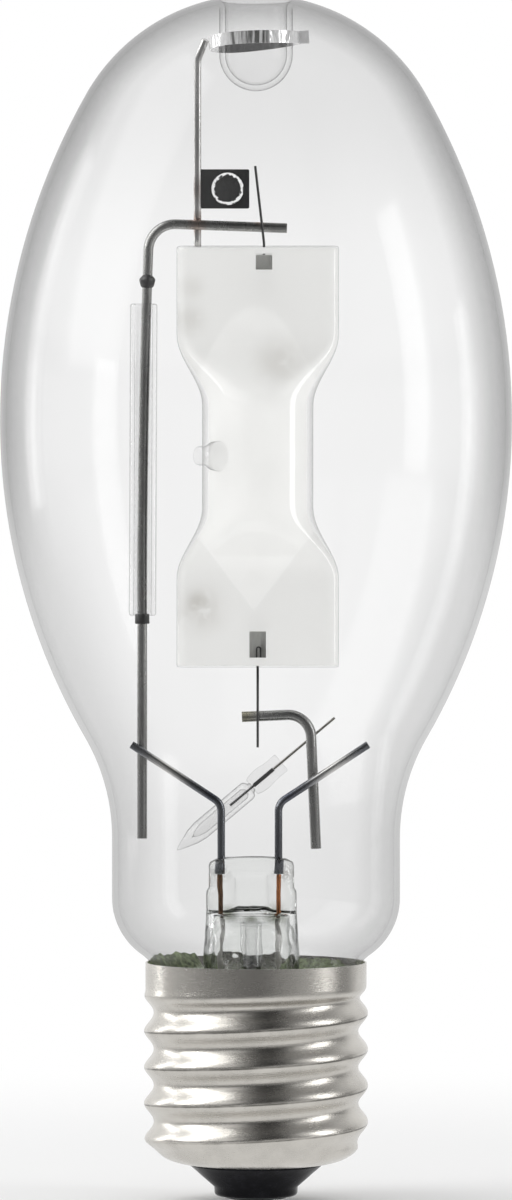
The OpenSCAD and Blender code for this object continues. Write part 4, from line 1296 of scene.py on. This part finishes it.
class LAMP_OT_arc_tube(LampPiece, bpy.types.Operator):
    """Pinch the quartz arc tube, frost it and seal in its foils and leads"""

    bl_idname = "lamp.arc_tube"
    bl_label = "Arc tube"

    x, y, z = 0.3 * MM, 0.45 * MM, 130.85 * MM
    pinch_l, flatten_l = 15.5 * MM, 12.5 * MM

    def build(self, lamp):
        s = lamp.arc
        self.quartz(s)
        self.frosted(s)
        self.sealed()

    def flat(self, s, h):
        """How far the tube is pinched at a height from its middle: 0 to 1."""
        waist = s.length / 2 - self.pinch_l - self.flatten_l
        return ease((abs(h) - waist) / self.flatten_l)

    def shaped(self, s, t, half, segments=96):
        """The pinched tube, a distance t inside its outer face."""
        count = 72
        heights = [-half + 2 * half * i / count for i in range(count + 1)]
        bm, first, last = rings(heights, 1 * MM, segments)
        for v in bm.verts:
            h = v.co.z
            d = s.diameter / 2 - (s.diameter - s.pinch) / 2 * self.flat(s, h)
            w = d + (s.diameter / 2 - d) * math.pi / 2
            x, y = slab(math.atan2(v.co.y, v.co.x), w - t(h), max(d - t(h), 0.25 * MM))
            v.co = (x, y, h)
        for ring in (first, last):
            bmesh.ops.edgeloop_fill(bm, edges=[e for e in ring if e.is_valid])
        tidy(bm)
        rim = [e for e in bm.edges if all(abs(abs(v.co.z) - half) < 1e-6 for v in e.verts)]
        soften(bm, rim, 0.35 * MM, 3)
        bmesh.ops.translate(bm, verts=bm.verts[:], vec=(self.x, self.y, self.z))
        return bm

    def quartz(self, s):
        bm = self.shaped(s, lambda h: 0, s.length / 2)
        line = Outline(2.7 * MM, -1.2 * MM)
        line.to(2.45 * MM, 0.3 * MM).to(1.9 * MM, 1.1 * MM).to(1.6 * MM, 2.1 * MM)
        line.to(1.7 * MM, 3.0 * MM).arc(1.2 * MM, 3.0 * MM, -turn(90), 6).to(0, 3.45 * MM)
        stub = line.spun(40)
        lie = Matrix.Rotation(turn(38), 4, "Z") @ Matrix.Rotation(-turn(90), 4, "Y")
        reach = Matrix.Translation((0, 0, s.diameter / 2))
        place = Matrix.Translation((self.x, self.y, self.z)) @ lie @ reach
        bmesh.ops.transform(stub, matrix=place, verts=stub.verts[:])
        bm = joined(bm, stub)
        tones = [(0, 0.99), (0.55, 0.97), (0.8, 0.82), (0.93, 0.6), (1, 0.45)]
        gloss = [(0, 0.04), (0.6, 0.06), (0.85, 0.2), (1, 0.5)]
        glass = clear_glass("Arc tube quartz", tones, gloss, 0.06)
        piece("Arc_tube", bm, glass, ["arc_tube"], sharp=50)

    def frosted(self, s):
        """The white frost inside the quartz; the waist's wall outside it stays clear."""

        def inside(h):
            return (0.12 + 1.0 * (1 - self.flat(s, h))) * MM

        bm = self.shaped(s, inside, s.length / 2 - 0.25 * MM)
        piece("Arc_tube_frost", bm, self.frost(s), sharp=50)

    def frost(self, s):
        """White frost, greyer outside the chamber as painted shade that shows the chamber's form,
        with the windows at the foils and the smudges.
        """
        white, soot = tuple(s.frost), tuple(s.soot)
        f = Finish("Arc tube frost", Roughness=0.55)
        spot = f.spots()
        x, z = spot["X"], spot["Z"]
        cloud = f.noise(f.place(), 0.12, 4, 0.6)
        fine = f.noise(f.place(), 1.6, 5, 0.6)
        # Painted shade: the frost is greyer outside the chamber's arch and vee, so the chamber's
        # form shows; a lighter painted line runs along the vee.
        across = f.math("MULTIPLY", x, x)
        arch = f.math("SUBTRACT", f.math("SUBTRACT", 157.6, f.math("MULTIPLY", across, 0.12)), z)
        slope = f.math("MULTIPLY", f.math("ABSOLUTE", f.math("ADD", x, 0.4)), 1.32)
        vee = f.math("SUBTRACT", z, f.math("ADD", slope, 104.2))
        inside = f.math("MINIMUM", f.span(arch, -0.8, 1.6), f.span(vee, -1.2, 1.4))
        line = f.band(vee, -0.7, 0, 0, 0.8)
        grey = tuple(c * 0.9 for c in white)
        tone = f.mix(inside, grey, white)
        tone = f.mix(f.math("MULTIPLY", f.span(cloud, 0.35, 0.75), 0.5), tone, grey)
        tone = f.mix(f.math("MULTIPLY", line, 0.5), tone, (0.97, 0.97, 0.96))
        broken = f.span(f.noise(f.place(), 0.45, 4, 0.6), 0.2, 0.52)
        for centre, radius, share in (
            ((4.3, -6.5, 151.4), 4.4, 1.0),
            ((4.1, -6.5, 149.2), 7.5, 0.55),
            ((-10.2, -3.2, 105.4), 3.2, 0.9),
            ((-9.6, -3, 104), 6.5, 0.4),
            ((-11.6, -2, 154.8), 4.2, 0.3),
            ((-11.2, -2, 160.5), 3.4, 0.25),
        ):
            mark = f.math("MULTIPLY", f.spot(centre, radius), broken)
            tone = f.mix(f.math("MULTIPLY", mark, share), tone, soot)
        f.colour(tone)
        f.bump(fine, 0.15, 0.05)
        window = None
        for low_x, high_x, low_z, high_z in (
            (-0.05, 2.9, 163.6, 166.4),
            (-1.15, 1.85, 95.6, 100.2),
        ):
            box = f.math("MULTIPLY", f.between(x, low_x, high_x), f.between(z, low_z, high_z))
            window = box if window is None else f.math("MAXIMUM", window, box)
        glow = f.add("BsdfTranslucent", {"Color": (0.9, 0.9, 0.89)}).outputs[0]
        milk = f.blend(0.25, f.shader.outputs[0], glow)
        clear = f.add("BsdfTransparent").outputs[0]
        return f.shows(f.blend(window, milk, clear))

    def sealed(self):
        """The foils, lead wires and electrodes keep their solids."""
        foil = drawn_metal("Foil molybdenum", (0.5, 0.5, 0.48), (0.2, 0.2, 0.19), 0.35, metal=0.35)
        black = drawn_metal("Oxidised lead wire", (0.12, 0.12, 0.12), (0.04, 0.04, 0.04), 0.35)
        tungsten = drawn_metal("Electrode tungsten", (0.3, 0.3, 0.31), (0.16, 0.16, 0.17), 0.4)
        for node, finish in (
            ("top_foil", foil),
            ("bottom_foil", foil),
            ("top_lead_wire", black),
            ("bottom_lead_wire", black),
            ("top_electrode", tungsten),
            ("bottom_electrode", tungsten),
        ):
            dress(node, finish)
        loop = Rod(0.28 * MM, (0.1 * MM, self.y - 0.2 * MM, 95.6 * MM), UP, RIGHT, 12)
        loop.straight(1.5 * MM).bend(0.35 * MM, 180, 12).straight(1.5 * MM)
        piece("Foil_weld_loop", loop.closed(0.04 * MM), black)


class LAMP_OT_starter(LampPiece, bpy.types.Operator):
    """Draw the starter's small capsule with its pinch and wire"""

    bl_idname = "lamp.starter"
    bl_label = "Starter capsule"

    def build(self, lamp):
        tones = [(0, 0.985), (0.4, 0.96), (0.6, 0.85), (0.8, 0.5), (1, 0.2)]
        gloss = [(0, 0.04), (0.6, 0.08), (0.85, 0.2), (1, 0.4)]
        glass = clear_glass("Starter quartz", tones, gloss, 0.04, 0.7)
        r, long, tip = 1.75 * MM, 17.2 * MM, 4.4 * MM
        line = Outline(0, 0)
        line.to(0.3 * MM, 0.35 * MM).to(0.9 * MM, 2 * MM).to(1.45 * MM, 3.6 * MM)
        line.to(r, 5.4 * MM).to(r, long - 1.2 * MM)
        line.arc(r - 0.9 * MM, long - 1.2 * MM, -turn(75), 7).to(0.7 * MM, long + 0.2 * MM)
        line.to(0, long + 0.2 * MM)
        bm = line.spun(40)
        line = Outline(0, tip - 1 * MM)
        line.to(0.6 * MM, tip + 0.2 * MM).to(1.0 * MM, tip + 1.6 * MM)
        line.to(1.0 * MM, long - 1.8 * MM).to(0.5 * MM, long - 1.2 * MM).to(0, long - 1.1 * MM)
        hollow = line.spun(32)
        bmesh.ops.reverse_faces(hollow, faces=hollow.faces[:])
        bm = joined(bm, hollow)
        press = bmesh.new()
        bmesh.ops.create_cube(press, size=1)
        bmesh.ops.scale(press, vec=(3.9 * MM, 1.4 * MM, 6.8 * MM), verts=press.verts[:])
        bmesh.ops.translate(press, verts=press.verts[:], vec=(0, 0, long + 3.4 * MM))
        bmesh.ops.subdivide_edges(press, edges=press.edges[:], cuts=5, use_grid_fill=True)
        for v in press.verts:
            up = (v.co.z - long) / (6.8 * MM)
            v.co.x *= 0.82 + 0.18 * math.sin(math.pi * min(1, up * 1.6)) + 0.1 * up
            side = abs(v.co.x) / (1.95 * MM)
            v.co.y *= 0.5 + 0.6 * side**2
        soften(press, [e for e in press.edges if e.calc_face_angle(0) > 1], 0.2 * MM, 3)
        bm = joined(bm, tidy(press))
        place = Matrix.Translation((-13.9 * MM, 3.1 * MM, 61.7 * MM))
        place = place @ Matrix.Rotation(turn(50), 4, "Y")
        bmesh.ops.transform(bm, matrix=place, verts=bm.verts[:])
        piece("Starter_capsule", bm, glass, ["starter_capsule"], sharp=60)
        metal = drawn_metal("Starter electrode", (0.2, 0.2, 0.2), (0.08, 0.08, 0.08), 0.35)
        wire = drawn_metal("Starter wire", (0.32, 0.31, 0.28), (0.16, 0.16, 0.14), 0.3)
        dress("starter_electrode", metal)
        dress("starter_wire", wire)


# The studio


class LAMP_OT_studio(LampPiece, bpy.types.Operator):
    """Set up the floor, the soft lamps, the sky and the camera"""

    bl_idname = "lamp.studio"
    bl_label = "Studio"

    def build(self, lamp):
        s = lamp.studio
        self.floor()
        self.sky(s)
        self.lamp("Key", s.key, (-1.05, -0.18, 0.95), (0.8, 1.5))
        self.lamp("Fill", s.fill, (0.93, -0.22, 0.35), (0.24, 0.7))
        self.lamp("Strip", s.strip, (-0.84, 0.47, 0.3), (0.16, 0.7))
        camera = bpy.data.objects.new("Camera", bpy.data.cameras.new("Camera"))
        bpy.context.scene.collection.objects.link(camera)
        camera.location = (0, -s.distance, s.height)
        camera.rotation_euler = (turn(90), 0, 0)
        camera.data.lens = s.lens
        camera.data.sensor_width = 36
        camera.data.shift_y = -0.0204
        camera.data.clip_start = 0.01
        bpy.context.scene.camera = camera
        bpy.context.scene.view_settings.view_transform = "Standard"

    def floor(self):
        bm = bmesh.new()
        bmesh.ops.create_grid(bm, x_segments=1, y_segments=1, size=4)
        mesh = bpy.data.meshes.new("Floor")
        bm.to_mesh(mesh)
        bm.free()
        floor = bpy.data.objects.new("Floor", mesh)
        floor.location.z = -0.05 * MM
        bpy.context.scene.collection.objects.link(floor)
        f = Finish("White floor", Base_Color=(0.85, 0.85, 0.85), Roughness=0.9)
        path = f.add("LightPath").outputs
        seen = f.math("MAXIMUM", path["Is Camera Ray"], path["Is Transmission Ray"])
        glow = f.add("Emission", {"Color": (1, 1, 1), "Strength": 0.55}).outputs[0]
        bright = f.add_up(f.shader.outputs[0], glow)
        spot = f.spots()
        away = f.add("VectorMath", {0: f.place()}, operation="LENGTH").outputs["Value"]
        tone = f.mix(f.span(away, 45, 140), (0.85, 0.85, 0.85), f.room(spot["X"], spot["Y"]))
        mirrored = f.add("Emission", {"Color": tone}).outputs[0]
        white = f.add("Emission", {"Color": (1, 1, 1)}).outputs[0]
        shown = f.blend(f.span(away, 80, 280), f.shader.outputs[0], white)
        plain = f.blend(seen, bright, shown)
        mesh.materials.append(f.shows(f.blend(path["Is Glossy Ray"], plain, mirrored)))

    def sky(self, s):
        """White behind the lamp, and a dim room with soft panels for the reflections."""
        world = bpy.data.worlds.new("Studio")
        bpy.context.scene.world = world
        world.use_nodes = True
        world.node_tree.nodes.clear()
        f = Nodes(world.node_tree)
        way = f.add("SeparateXYZ", {0: f.add("TexCoord").outputs["Generated"]}).outputs
        # Heights are sines of the angle over the horizon
        low = f.room(way["X"], way["Y"])
        boxes = f.room(way["X"], way["Y"], BOXES)
        over = f.mix(f.span(way["Z"], 0.14, 0.21), (0.05, 0.05, 0.05), boxes)
        over = f.mix(f.span(way["Z"], 0.62, 0.85, 0, 0.65), over, (0.04, 0.04, 0.04))
        above = f.mix(f.span(way["Z"], 0.09, 0.12), low, over)
        tone = f.mix(f.span(way["Y"], 0.3, 0.7), above, low)
        room = f.add("Background", {"Color": tone}).outputs[0]
        soft = f.add("Background", {"Color": (1, 1, 1), "Strength": s.daylight}).outputs[0]
        white = f.add("Background", {"Color": (1, 1, 1)}).outputs[0]
        path = f.add("LightPath").outputs
        seen = f.math("MAXIMUM", path["Is Camera Ray"], path["Is Transmission Ray"])
        light = f.blend(path["Is Glossy Ray"], soft, room)
        shown = f.blend(seen, light, white)
        f.tree.links.new(shown, f.add("OutputWorld").inputs["Surface"])

    def lamp(self, name, power, place, size):
        data = bpy.data.lights.new(name, "AREA")
        data.shape = "RECTANGLE"
        data.size, data.size_y = size
        data.energy = power
        made = bpy.data.objects.new(name, data)
        bpy.context.scene.collection.objects.link(made)
        made.location = place
        aim = Vector((0, 0, 0.11)) - Vector(place)
        made.rotation_euler = aim.to_track_quat("-Z", "Y").to_euler()


PIECES = (
    LAMP_OT_outer_bulb,
    LAMP_OT_screw_base,
    LAMP_OT_stem,
    LAMP_OT_leads,
    LAMP_OT_frame_rods,
    LAMP_OT_sleeve,
    LAMP_OT_dome_strap,
    LAMP_OT_getter,
    LAMP_OT_arc_tube,
    LAMP_OT_starter,
    LAMP_OT_studio,
)


class LAMP_PT_panel(bpy.types.Panel):
    """The lamp's sizes and colours, and a button for each of its pieces"""

    bl_idname = "LAMP_PT_panel"
    bl_label = "Metal halide lamp"
    bl_space_type = "VIEW_3D"
    bl_region_type = "UI"
    bl_category = "Lamp"

    def draw(self, context):
        layout = self.layout
        for operator in PIECES:
            layout.operator(operator.bl_idname)
        for name in ("bulb", "base", "frame", "arc", "studio"):
            box = layout.box()
            group_of = getattr(context.scene.lamp, name)
            box.label(text=name.capitalize())
            for key in group_of.bl_rna.properties.keys():
                if key not in ("rna_type", "name"):
                    box.prop(group_of, key)


CLASSES = (
    LampBulb,
    LampBase,
    LampFrame,
    LampArcTube,
    LampStudio,
    LampSettings,
    *PIECES,
    LAMP_PT_panel,
)


def register():
    for each in CLASSES:
        bpy.utils.register_class(each)
    bpy.types.Scene.lamp = PointerProperty(type=LampSettings)


def unregister():
    del bpy.types.Scene.lamp
    for each in reversed(CLASSES):
        bpy.utils.unregister_class(each)


def main():
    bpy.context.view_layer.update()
    register()
    bpy.ops.lamp.studio()
    bpy.ops.lamp.screw_base()
    bpy.ops.lamp.stem()
    bpy.ops.lamp.leads()
    bpy.ops.lamp.frame_rods()
    bpy.ops.lamp.sleeve()
    bpy.ops.lamp.dome_strap()
    bpy.ops.lamp.getter()
    bpy.ops.lamp.arc_tube()
    bpy.ops.lamp.starter()
    bpy.ops.lamp.outer_bulb()


if __name__ == "__main__":
    main()
